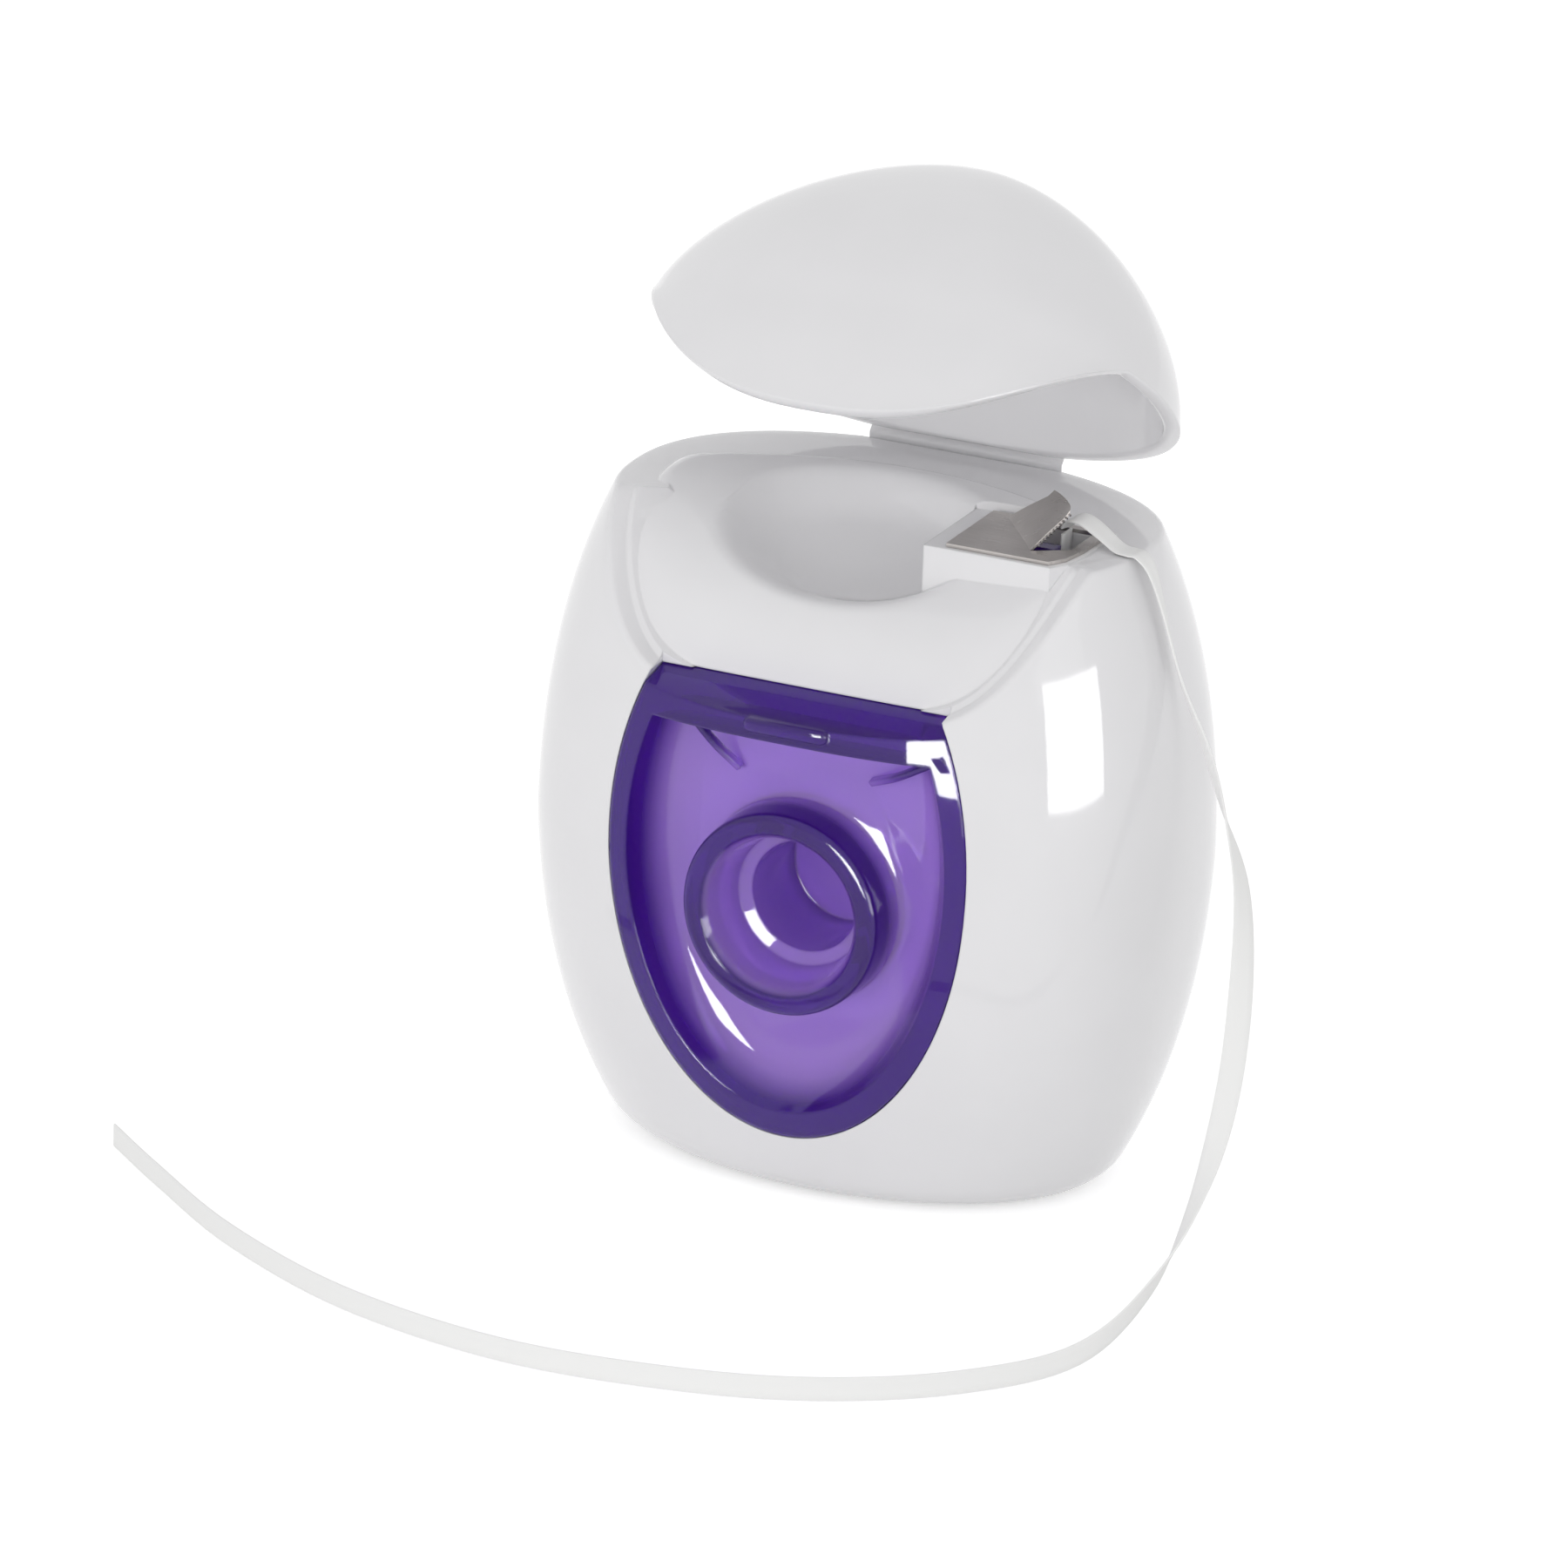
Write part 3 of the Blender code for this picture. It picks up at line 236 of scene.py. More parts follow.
# Free floss: listed points, each with the direction of the tape's width
tape_route = (
    ((0.01150, -0.00035, 0.04078), (0.2, 1.0, 0.0)),
    ((0.01185, -0.00035, 0.04130), (0.2, 1.0, 0.1)),
    ((0.01260, -0.00040, 0.04140), (0.2, 1.0, 0.1)),
    ((0.01370, -0.00065, 0.04098), (0.1, 1.0, 0.1)),
    ((0.01460, -0.00085, 0.04050), (0.1, 1.0, 0.0)),
    ((0.01530, -0.00110, 0.04027), (0.1, 1.0, 0.0)),
    ((0.01600, -0.00125, 0.04025), (0.0, 1.0, 0.0)),
    ((0.01668, -0.00138, 0.04020), (0.0, 1.0, 0.0)),
    ((0.01742, -0.00150, 0.03945), (-0.2, 1.0, 0.1)),
    ((0.01825, -0.00160, 0.03740), (-0.4, 1.0, 0.1)),
    ((0.01958, -0.00170, 0.03340), (-0.6, 1.0, 0.0)),
    ((0.02165, -0.00240, 0.02980), (-0.8, 0.9, 0.0)),
    ((0.02350, -0.00380, 0.02680), (-0.6, 0.9, 0.0)),
    ((0.02580, -0.00600, 0.02300), (0.1, 1.0, 0.1)),
    ((0.02730, -0.00900, 0.01820), (0.5, 0.9, 0.4)),
    ((0.02840, -0.01300, 0.01310), (0.6, 0.6, 0.6)),
    ((0.02850, -0.01700, 0.00820), (0.5, 0.3, 0.8)),
    ((0.02760, -0.02120, 0.00400), (0.3, 0.2, 1.0)),
    ((0.02540, -0.02620, 0.00130), (0.1, 0.1, 1.0)),
    ((0.02080, -0.03200, 0.00080), (0.0, 0.0, 1.0)),
    ((0.01400, -0.03700, 0.00080), (0.0, 0.0, 1.0)),
    ((0.00600, -0.03970, 0.00080), (0.0, 0.0, 1.0)),
    ((-0.00400, -0.04070, 0.00080), (0.0, 0.0, 1.0)),
    ((-0.01500, -0.03850, 0.00080), (0.0, 0.0, 1.0)),
    ((-0.02500, -0.03350, 0.00080), (0.0, 0.0, 1.0)),
    ((-0.03300, -0.02750, 0.00080), (0.0, 0.0, 1.0)),
    ((-0.03800, -0.02340, 0.00080), (0.0, 0.0, 1.0)),
)

# Camera: the photograph's frame is square
PHOTO_PIXELS = 1800
PHOTO_CENTRE_PIXEL = (1005.75, 946.65)
PIXELS_PER_RADIAN = 12981
SENSOR = 36.0
camera_turn, camera_height = math.radians(23.91), math.radians(20.62)
camera_roll = math.radians(2.26)
CAMERA_DISTANCE = 0.6667
CAMERA_AIM = Vector((0, 0, 20 * mm))
CAMERA_NEAR = 0.01

# Lamps: turn from the front and height in degrees, distance; size in metres; watts
LAMP_AIM = Vector((0, 0, 28 * mm))
SOFTBOX = (66, 1.5, 0.26), (0.16, 0.085), 0.34
FILL = (60, 25, 0.9), (0.5, 0.5), 0.5
KEY = (-8, 5, 0.9), (0.5, 0.3), 1.9
GLINT = (10, 11, 0.25), (0.10, 0.09), 0.9
SOFTBOX_RISE = 32 * mm
FLOOR_DROP = 0.02 * mm
FLOOR_GLOW = 0.46
FLOOR_ROUGHNESS, FLOOR_SPECULAR = 0.9, 0.1
SKY_LEVEL = 0.72

# Finishes: noise scales are cells per metre, gloss and grain are ranges of roughness
NOISE_MIDDLE = (0.3, 0.7)
PLASTIC_IOR = 1.49
EDGE_SAMPLES = 6
CASE_GLOSS, CORE_GLOSS, WINDOW_GLOSS = (0.05, 0.09), (0.4, 0.5), (0.02, 0.05)
FLOW_SCALE, SKIN_SCALE, flow_shade = 90.0, 2600.0, 0.96
SKIN_BUMP, SKIN_DEPTH, MOULD_EDGE = 0.03, 0.02 * mm, 0.18 * mm
WAVE_SCALE, WAVE_STRETCH = 140.0, (1.0, 0.6, 1.6)
WAVE_BUMP, WAVE_DEPTH, WINDOW_SOFT = 0.25, 0.12 * mm, 0.25 * mm
WINDOW_CLEAR, WINDOW_SPECULAR = 0.5, 0.35
# Painted shade on the insert: where its darker painted tint fades out, over a depth in y in front
# of the dish's floor, across the ring's mouth and below the shelf
PAINTED_SHADE_DEPTH = 1.9 * mm
MOUTH_SHADE_FADE = (RING_MOUTH + 0.35 * mm, RING_MOUTH - 0.05 * mm)
SHELF_SHADE_FADE = (LIP_HEIGHT - SHELF_FALL - 0.2 * mm, DISH_TOP)
GRAIN_SCALE, GRAIN_STRETCH, STEEL_GRAIN = 900.0, (1.0, 9.0, 1.0), (0.26, 0.42)
SMUDGE_SCALE, smudge_shade = 260.0, 0.82
GRAIN_BUMP, GRAIN_DEPTH = 0.12, 0.02 * mm
STRAND_SCALE, STRAND_STRETCH, strand_shade = 2200.0, (0.35, 1.0, 1.0), 0.90
WAX_SCALE, WAX_GLOSS = 300.0, (0.34, 0.52)
STRAND_BUMP, STRAND_DEPTH = 0.35, 0.04 * mm
FLOSS_SHEEN, FLOSS_CLEAR = 0.2, 0.12

# Half the section of a flat strip, in shares of its width and thickness
ribbon_half = ((0.5, 0.25), (0.46, 0.5), (0.2, 0.5), (-0.2, 0.5), (-0.46, 0.5), (-0.5, 0.25))
# Points round and along the forms
RING_POINTS, FORM_ROWS, TURNED_POINTS, CAVITY_POINTS, BAR_POINTS = 160, 40, 96, 80, 16
CREST_STEPS, LEDGE_STEPS, EGG_POINTS, EGG_TOP_STEPS, CORNER_STEPS = 40, 48, 112, 12, 5
HALVINGS = 40
# Angles in degrees up to which a surface is shaded smoothly
SHARP_SHEET, SHARP_MOULDING, SHARP_WINDOW, SHARP_TAPE, SHARP_THREAD = 30, 32, 34, 50, 60


def measure(name, text, default):
    return FloatProperty(name=name, description=text, default=default, unit="LENGTH")


def amount(name, text, default, low, high):
    return IntProperty(name=name, description=text, default=default, min=low, max=high)


def colour(name, text, default):
    return FloatVectorProperty(name=name, description=text, default=default, subtype="COLOR")


class DispenserSizes(bpy.types.PropertyGroup):
    turns: amount("Turns", "Turns of floss in the outer layer", 12, 7, 13)
    thread: measure("Thread", "Thickness of a wound turn", 0.82 * mm)
    tape_width: measure("Tape width", "Width of the flat floss", 1.45 * mm)
    teeth: amount("Teeth", "Teeth along the cutting edge", 11, 3, 30)
    floor: measure("Floor", "Half the width of the studio floor", 2.0)


class DispenserColours(bpy.types.PropertyGroup):
    plastic: colour("Case", "Glossy moulded plastic", (0.85, 0.845, 0.86))
    window: colour("Window", "See-through insert", (0.55, 0.34, 0.92))
    # Painted shade: a darker tint painted on the insert's thick rims, shelf and ring top, standing
    # for light dimmed as it passes through thick tinted plastic
    window_edge: colour("Window edge", "See-through insert where it is thick", (0.065, 0.012, 0.27))
    steel: colour("Cutter", "Stainless steel", (0.56, 0.53, 0.51))
    floss: colour("Floss", "Waxed floss", (0.80, 0.80, 0.805))
    core: colour("Bobbin", "Natural plastic", (0.72, 0.72, 0.69))
    ground: colour("Floor", "Studio floor", (0.90, 0.90, 0.90))


def sizes():
    return bpy.context.scene.dispenser_sizes


def colours():
    return bpy.context.scene.dispenser_colours


def shrink(share, power):
    """Height of a superellipse of radius 1 at this share of its width."""
    return max(0.0, 1.0 - abs(share) ** power) ** (1.0 / power)


def swell(z, middle, drop_share, rise_share, low_power, high_power):
    if z < middle:
        return shrink((middle - z) / (middle * drop_share), low_power)
    return shrink((z - middle) / ((CASE_HEIGHT - middle) * rise_share), high_power)


def half_width(z):
    """Half the outer form's width at a height; above the case the lid carries the form on."""
    if z > CASE_HEIGHT:
        return half_width(CASE_HEIGHT) * shrink((z - CASE_HEIGHT) / LID_RISE, lid_width_power)
    return CASE_HALF_WIDTH * swell(z, *width_swell)


def half_depth(z, rear=True):
    if z > CASE_HEIGHT:
        power = lid_rear_power if rear else lid_front_power
        return half_depth(CASE_HEIGHT) * shrink((z - CASE_HEIGHT) / LID_RISE, power)
    return CASE_HALF_DEPTH * swell(z, *depth_swell)


def plan_power(z):
    if z < WIDEST_HEIGHT:
        return base_plan_power + (middle_plan_power - base_plan_power) * z / WIDEST_HEIGHT
    if z < CASE_HEIGHT:
        share = (z - WIDEST_HEIGHT) / (CASE_HEIGHT - WIDEST_HEIGHT)
        return middle_plan_power + (rim_plan_power - middle_plan_power) * share
    share = min(1.0, (z - CASE_HEIGHT) / LID_RISE)
    return rim_plan_power + (lid_top_plan_power - rim_plan_power) * share


def base_inset(z, fillet=BASE_FILLET):
    if z >= fillet:
        return 0.0
    return fillet - math.sqrt(fillet * fillet - (fillet - z) ** 2)


def form_point(angle, z, inset=0.0):
    """Point of the outer form, drawn in by inset, in the direction of an angle seen from above."""
    power = 2.0 / plan_power(z)
    across, along = math.cos(angle), math.sin(angle)
    x = max(0.0, half_width(z) - inset) * math.copysign(abs(across) ** power, across)
    y = max(0.0, half_depth(z, along > 0) - inset) * math.copysign(abs(along) ** power, along)
    return Vector((x, y, z))


def form_y(x, z, inset=0.0):
    share = min(1.0, abs(x) / (half_width(z) - inset))
    return (half_depth(z) - inset) * shrink(share, plan_power(z))


def seam_line(x, low, power):
    share = min(1.0, abs(x) / SEAM_HALF_WIDTH)
    return low + (CASE_HEIGHT - low) * share**power


def seam_height(angle, low, power):
    """Height at which the seam crosses the outer form: curved at the front, level at the back."""
    if math.sin(angle) >= 0:
        return CASE_HEIGHT
    below, above = low, CASE_HEIGHT
    for _ in range(HALVINGS):
        middle = (below + above) / 2
        if middle < seam_line(form_point(angle, middle).x, low, power):
            below = middle
        else:
            above = middle
    return above


def ring_angles(count=RING_POINTS):
    return [math.tau * (step + 0.5) / count for step in range(count)]


def smooth_step(share):
    share = min(1.0, max(0.0, share))
    return share * share * (3 - 2 * share)


def vectors(rows):
    return [Vector(row) for row in rows]


def new_object(name, data):
    built = bpy.data.objects.new(name, data)
    bpy.context.scene.collection.objects.link(built)
    return built


def mesh_object(name, vertices, faces):
    mesh = bpy.data.meshes.new(name)
    mesh.from_pydata([tuple(vertex) for vertex in vertices], [], faces)
    mesh.update()
    return new_object(name, mesh)


def face_out(built):
    sheet = bmesh.new()
    sheet.from_mesh(built.data)
    bmesh.ops.recalc_face_normals(sheet, faces=sheet.faces)
    if sheet.calc_volume(signed=True) < 0:
        bmesh.ops.reverse_faces(sheet, faces=sheet.faces)
    sheet.to_mesh(built.data)
    sheet.free()
    return built


def band_faces(count, rows):
    """Four-sided faces between pairs of rings that follow one another in a list of points."""
    faces = []
    for low, high in rows:
        for step in range(count):
            after = (step + 1) % count
            below, above = low * count, high * count
            faces.append((below + step, below + after, above + after, above + step))
    return faces


def loft(name, rings, start=None, end=None):
    """Closed solid through rings of equal count, ended by a flat face or by a pole."""
    count = len(rings[0])
    vertices = [point for ring in rings for point in ring]
    faces = band_faces(count, [(row, row + 1) for row in range(len(rings) - 1)])
    last = (len(rings) - 1) * count
    for pole, first in ((start, 0), (end, last)):
        edge = [first + step for step in range(count)]
        if pole is None:
            faces.append(edge)
            continue
        vertices.append(pole)
        tip = len(vertices) - 1
        faces += [(edge[step], edge[(step + 1) % count], tip) for step in range(count)]
    return face_out(mesh_object(name, vertices, faces))


def prism(name, outline, axis, start, end):
    """Solid of a closed outline, pulled along Y (an outline in x, z) or Z (an outline in x, y)."""
    if axis == "Y":
        rings = [[Vector((x, level, z)) for x, z in outline] for level in (start, end)]
    else:
        rings = [[Vector((x, y, level)) for x, y in outline] for level in (start, end)]
    return loft(name, rings)


def box(name, low, high):
    outline = [(low[0], low[1]), (high[0], low[1]), (high[0], high[1]), (low[0], high[1])]
    return prism(name, outline, "Z", low[2], high[2])


def turned_about_y(name, profile, closed=False):
    """Solid of revolution about the bobbin's level axis; the profile is (radius, y) pairs."""
    rings = []
    for radius, y in profile:
        ring = []
        for angle in ring_angles(TURNED_POINTS):
            rise = BOBBIN_HEIGHT + radius * math.sin(angle)
            ring.append(Vector((radius * math.cos(angle), y, rise)))
        rings.append(ring)
    if not closed:
        return loft(name, rings)
    vertices = [point for ring in rings for point in ring]
    rows = [(row, (row + 1) % len(rings)) for row in range(len(rings))]
    return face_out(mesh_object(name, vertices, band_faces(TURNED_POINTS, rows)))


def applied(built):
    """Turns a piece into the plain mesh that its modifiers make, and removes them."""
    graph = bpy.context.evaluated_depsgraph_get()
    made = bpy.data.meshes.new_from_object(built.evaluated_get(graph))
    if not made.polygons:
        raise RuntimeError(f"{built.name} came out empty")
    built.modifiers.clear()
    built.data = made
    return built


def combine(built, other, operation):
    """Applies one boolean at once and removes its helper."""
    change = built.modifiers.new(other.name, "BOOLEAN")
    change.operation = operation
    change.object = other
    change.solver = "EXACT"
    applied(built)
    bpy.data.objects.remove(other, do_unlink=True)
    return built


def cut(built, other):
    return combine(built, other, "DIFFERENCE")


def join(built, other):
    return combine(built, other, "UNION")


def finish_piece(built, name, coat, sharp=SHARP_SHEET):
    """Names a piece, gives it the named finish, and smooth shading up to an angle in degrees."""
    built.name = name
    built.data.name = name
    built.data.materials.clear()
    built.data.materials.append(finish_of(coat))
    built.data.shade_smooth()
    built.data.set_sharp_from_angle(angle=math.radians(sharp))
    return built


# Finishes


def fill(tree, node, values):
    """Gives each named input of a node its value, or links the socket that it comes from."""
    for name, value in values.items():
        if isinstance(value, bpy.types.NodeSocket):
            tree.links.new(value, node.inputs[name])
        else:
            node.inputs[name].default_value = value


def add_node(tree, kind, values=None, **settings):
    """A new node with these settings, and its inputs filled."""
    made = tree.nodes.new(kind)
    for name, setting in settings.items():
        setattr(made, name, setting)
    fill(tree, made, values or {})
    return made


def worked(tree, operation, first, second, clamp=False):
    """The result of a sum on two values."""
    values = {0: first, 1: second}
    made = add_node(tree, "ShaderNodeMath", values, operation=operation, use_clamp=clamp)
    return made.outputs[0]


def mapped(tree, value, low, high, to=(0.0, 1.0), curve="LINEAR"):
    """The value, carried from the range low to high over to another range."""
    values = {"Value": value, "From Min": low, "From Max": high, "To Min": to[0], "To Max": to[1]}
    made = add_node(tree, "ShaderNodeMapRange", values, interpolation_type=curve)
    return made.outputs["Result"]


def new_finish(name):
    made = bpy.data.materials.new(name)
    made.use_nodes = True
    tree = made.node_tree
    return made, tree, tree.nodes["Principled BSDF"]


def own_place(tree):
    """The piece's own coordinates."""
    return add_node(tree, "ShaderNodeTexCoord").outputs["Object"]


def noise_on_piece(tree, scale, detail=3.0, stretch=(1.0, 1.0, 1.0)):
    lie = add_node(tree, "ShaderNodeMapping", {"Scale": stretch, "Vector": own_place(tree)})
    values = {"Scale": scale, "Detail": detail, "Vector": lie.outputs["Vector"]}
    return add_node(tree, "ShaderNodeTexNoise", values).outputs["Fac"]


def spread(tree, noise, reach=(0.0, 1.0)):
    """The middle of a noise's values, spread over a range."""
    return mapped(tree, noise, *NOISE_MIDDLE, reach)


def mixed(tree, factor, first, second):
    values = {"A": (*first, 1.0), "B": (*second, 1.0), "Factor": factor}
    return add_node(tree, "ShaderNodeMix", values, data_type="RGBA").outputs["Result"]


def tinted(tree, noise, colour, shade):
    """The colour, varied by a noise between itself and a share of itself."""
    return mixed(tree, spread(tree, noise), colour, [channel * shade for channel in colour])


def bumped(tree, height, strength, distance, normal=None):
    values = {"Strength": strength, "Distance": distance, "Height": height}
    if normal is not None:
        values["Normal"] = normal
    return add_node(tree, "ShaderNodeBump", values).outputs["Normal"]


def soft_edges(tree, radius):
    """Normals that run smoothly over the edges."""
    made = add_node(tree, "ShaderNodeBevel", {"Radius": radius}, samples=EDGE_SAMPLES)
    return made.outputs["Normal"]


def moulded_plastic(name, colour, gloss):
    """Glossy injection-moulded plastic: faint flow in its gloss, a fine skin and softened edges."""
    made, tree, shader = new_finish(name)
    flow = noise_on_piece(tree, FLOW_SCALE)
    skin = noise_on_piece(tree, SKIN_SCALE, detail=2.0)
    values = {
        "Base Color": tinted(tree, flow, colour, flow_shade),
        "Roughness": spread(tree, flow, gloss),
        "IOR": PLASTIC_IOR,
        "Normal": bumped(tree, skin, SKIN_BUMP, SKIN_DEPTH, soft_edges(tree, MOULD_EDGE)),
    }
    fill(tree, shader, values)
    return made


def clear_plastic(name, colour, deep):
    """See-through tinted plastic: deep in colour at its thick rims and shelf, lighter on the dish's
    floor and inside the ring."""
    made, tree, shader = new_finish(name)
    waves = noise_on_piece(tree, WAVE_SCALE, 1.0, WAVE_STRETCH)
    place = own_place(tree)
    parts = add_node(tree, "ShaderNodeSeparateXYZ", {"Vector": place})
    low = DISH_FLOOR_Y - PAINTED_SHADE_DEPTH
    floor = mapped(tree, parts.outputs["Y"], low, DISH_FLOOR_Y, curve="SMOOTHSTEP")
    values = {0: place, 1: (1, 0, 1), 2: (0, 0, -BOBBIN_HEIGHT)}
    flat = add_node(tree, "ShaderNodeVectorMath", values, operation="MULTIPLY_ADD")
    values = {0: flat.outputs["Vector"]}
    radius = add_node(tree, "ShaderNodeVectorMath", values, operation="LENGTH")
    mouth = mapped(tree, radius.outputs["Value"], *MOUTH_SHADE_FADE)
    shelf = mapped(tree, parts.outputs["Z"], *SHELF_SHADE_FADE)
    # Painted shade: this share keeps the insert's own tint, on the dish's floor and inside the ring
    # but not at the shelf; the rest gets deep, the painted shade colour
    unshaded_share = worked(tree, "MULTIPLY", worked(tree, "MAXIMUM", floor, mouth), shelf)
    values = {
        "Base Color": mixed(tree, unshaded_share, deep, colour),
        "Roughness": spread(tree, waves, WINDOW_GLOSS),
        "IOR": PLASTIC_IOR,
        "Transmission Weight": WINDOW_CLEAR,
        "Specular IOR Level": WINDOW_SPECULAR,
        "Normal": bumped(tree, waves, WAVE_BUMP, WAVE_DEPTH, soft_edges(tree, WINDOW_SOFT)),
    }
    fill(tree, shader, values)
    return made


def rolled_steel(name, colour):
    """Stainless sheet with a fine rolled grain and small smudges."""
    made, tree, shader = new_finish(name)
    grain = noise_on_piece(tree, GRAIN_SCALE, 4.0, GRAIN_STRETCH)
    smudge = noise_on_piece(tree, SMUDGE_SCALE, detail=2.0)
    values = {
        "Base Color": tinted(tree, smudge, colour, smudge_shade),
        "Roughness": spread(tree, grain, STEEL_GRAIN),
        "Metallic": 1.0,
        "Normal": bumped(tree, grain, GRAIN_BUMP, GRAIN_DEPTH),
    }
    fill(tree, shader, values)
    return made


def waxed_floss(name, colour):
    """Waxed tape of fine parallel strands, slightly sheer."""
    made, tree, shader = new_finish(name)
    strand = noise_on_piece(tree, STRAND_SCALE, 3.0, STRAND_STRETCH)
    wax = noise_on_piece(tree, WAX_SCALE, detail=2.0)
    values = {
        "Base Color": tinted(tree, strand, colour, strand_shade),
        "Roughness": spread(tree, wax, WAX_GLOSS),
        "Sheen Weight": FLOSS_SHEEN,
        "Transmission Weight": FLOSS_CLEAR,
        "Normal": bumped(tree, strand, STRAND_BUMP, STRAND_DEPTH),
    }
    fill(tree, shader, values)
    return made


def finish_of(name):
    """The named finish, made the first time that a piece asks for it."""
    made = bpy.data.materials.get(name)
    if made:
        return made
    shade = colours()
    makers = {
        "glossy_case_plastic": (moulded_plastic, shade.plastic, CASE_GLOSS),
        "natural_core_plastic": (moulded_plastic, shade.core, CORE_GLOSS),
        # The insert's finish takes its own tint and the darker tint painted on its thick parts as
        # shade
        "clear_window_plastic": (clear_plastic, shade.window, shade.window_edge),
        "rolled_steel": (rolled_steel, shade.steel),
        "waxed_floss": (waxed_floss, shade.floss),
    }
    maker, *values = makers[name]
    return maker(name, *[tuple(value) for value in values])


def place_on(built, body, *nodes):
    """The piece rides on a body and stands for these CAD nodes."""
    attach(built, body)
    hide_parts(*nodes)
    return built


# Case


def case_body():
    """The case up to the seam, with a small radius along its rim and a ledge for the lid."""
    angles = ring_angles()
    seams = [seam_height(angle, SEAM_LOW, case_seam_power) for angle in angles]
    rings = []
    for step in range(FILLET_STEPS):
        z = BASE_FILLET * (1 - math.cos(math.pi / 2 * step / FILLET_STEPS))
        rings.append([form_point(angle, z, base_inset(z)) for angle in angles])
    for row in range(CASE_ROWS + 1):
        share = row / CASE_ROWS
        ring = []
        for angle, seam in zip(angles, seams):
            z = BASE_FILLET + (seam - RIM_RADIUS - BASE_FILLET) * share
            ring.append(form_point(angle, z))
        rings.append(ring)
    for step in range(1, RIM_STEPS + 1):
        turn = math.pi / 2 * step / RIM_STEPS
        inset, drop = RIM_RADIUS * (1 - math.cos(turn)), RIM_RADIUS * (1 - math.sin(turn))
        rings.append([form_point(angle, seam - drop, inset) for angle, seam in zip(angles, seams)])
    foot, back = NECK_INSET - PART_GAP, NECK_INSET + NECK_WALL
    for inset, rise in ((foot, 0.0), (NECK_INSET, PART_GAP), (back, PART_GAP)):
        ring = [form_point(angle, seam, inset) for angle, seam in zip(angles, seams)]
        for point in ring:
            point.z = min(point.z + rise * (point.y < 0), CASE_HEIGHT)
        rings.append(ring)
    return loft("case_body", rings, end=Vector((0, 0, SEAM_LOW)))


def crest_sag(x):
    return CREST_SAG * (x / CREST_HALF_WIDTH) ** 2


def neck_length(z):
    """How far the neck reaches forward from the middle of its crest at a height."""
    return NECK_LENGTH * shrink((z - NECK_LOW) / NECK_HEIGHT, 2.0) ** (2 / neck_front_power)


def neck_ring(share):
    """One level of the neck: share runs from 0 at its foot to 1 at its crest."""
    turn = math.pi / 2 * share
    z = NECK_LOW + NECK_HEIGHT * math.sin(turn)
    length = neck_length(z)
    inset = NECK_INSET + NECK_SHOULDER * (1 - math.cos(turn)) ** 2
    ring = []
    for angle in ring_angles():
        point = form_point(angle, min(z, CASE_HEIGHT), inset)
        side = CREST_MIDDLE - point.y
        front = length + crest_sag(point.x) * share**3
        if side > 0:
            near, power = min(side, front), neck_corner_power
            side = near * (1 + (near / max(side, front)) ** power) ** (-1 / power)
        ring.append(Vector((point.x, CREST_MIDDLE - side, z)))
    return ring


def scoop_fall(point):
    """How far a point of the neck goes down into the scoop, an ellipsoid that runs out softly."""
    shape = Matrix.Rotation(scoop_tilt, 3, "X") @ Matrix.Diagonal(SCOOP_SIZE)
    inverse = shape.inverted()
    place, run = inverse @ (point - SCOOP_CENTRE), inverse @ scoop_lean
    if place.length >= 1:
        return 0.0
    half = place.dot(run) / run.length_squared
    fall = -half + math.sqrt(half * half + (1 - place.length_squared) / run.length_squared)
    return fall * smooth_step(fall / SCOOP_EDGE)


def neck():
    """The neck inside the lid: a front that leans back to a crest, with the scoop in it."""
    rings = [neck_ring(step / NECK_ROWS * NECK_TOP_SHARE) for step in range(NECK_ROWS + 1)]
    built = loft("neck", rings)
    sheet = bmesh.new()
    sheet.from_mesh(built.data)
    cap = []
    for face in sheet.faces:
        if len(face.verts) > 8 and face.calc_center_median().z > CASE_HEIGHT:
            cap.append(face)
    bmesh.ops.triangulate(sheet, faces=cap)
    sheet.normal_update()
    for vertex in sheet.verts:
        if vertex.co.z > NECK_LOW + NECK_FOOT:
            vertex.co += scoop_lean * scoop_fall(vertex.co)
    sheet.to_mesh(built.data)
    sheet.free()
    steps = []
    for step in range(-CREST_STEPS, CREST_STEPS + 1):
        steps.append(CREST_HALF_WIDTH * CREST_REACH * step / CREST_STEPS)
    outline = [(x, CREST_MIDDLE - crest_sag(x)) for x in steps]
    outline += [(steps[-1], CASE_HALF_DEPTH), (steps[0], CASE_HALF_DEPTH)]
    top = NECK_LOW + NECK_HEIGHT
    behind = prism("behind_crest", outline, "Z", CASE_HEIGHT - NECK_WALL, top + OVERRUN)
    return cut(built, behind)


def rear_ledge():
    """Level floor behind the crest, on which the closed lid's rear edge stands."""
    outline = []
    for step in range(LEDGE_STEPS + 1):
        point = form_point(math.pi * step / LEDGE_STEPS, CASE_HEIGHT, NECK_INSET)
        outline.append((point.x, point.y))
    for step in range(-CREST_STEPS // 2, CREST_STEPS // 2 + 1):
        x = CREST_HALF_WIDTH * step / (CREST_STEPS // 2)
        outline.append((x, CREST_MIDDLE - crest_sag(x) - PART_GAP))
    return prism("rear_ledge", outline, "Z", DECK_LOW, CASE_HEIGHT)


def cavity_inset(angle, z):
    """The wall is thicker behind the seam, where the neck steps in."""
    seam = seam_height(angle, SEAM_LOW, case_seam_power)
    step = NECK_INSET + NECK_WALL - CASE_WALL + PART_GAP
    share = (z - (seam - CASE_WALL - step)) / CASE_WALL
    return CASE_WALL + step * smooth_step(share)


def cavity_point(angle, z, inset):
    """Point of the hollow, which also keeps a wall behind the neck's leaning front."""
    point = form_point(angle, z, cavity_inset(angle, z) + inset)
    if z > NECK_LOW:
        point.y = max(point.y, CREST_MIDDLE + NECK_WALL + inset - neck_length(z))
    return point


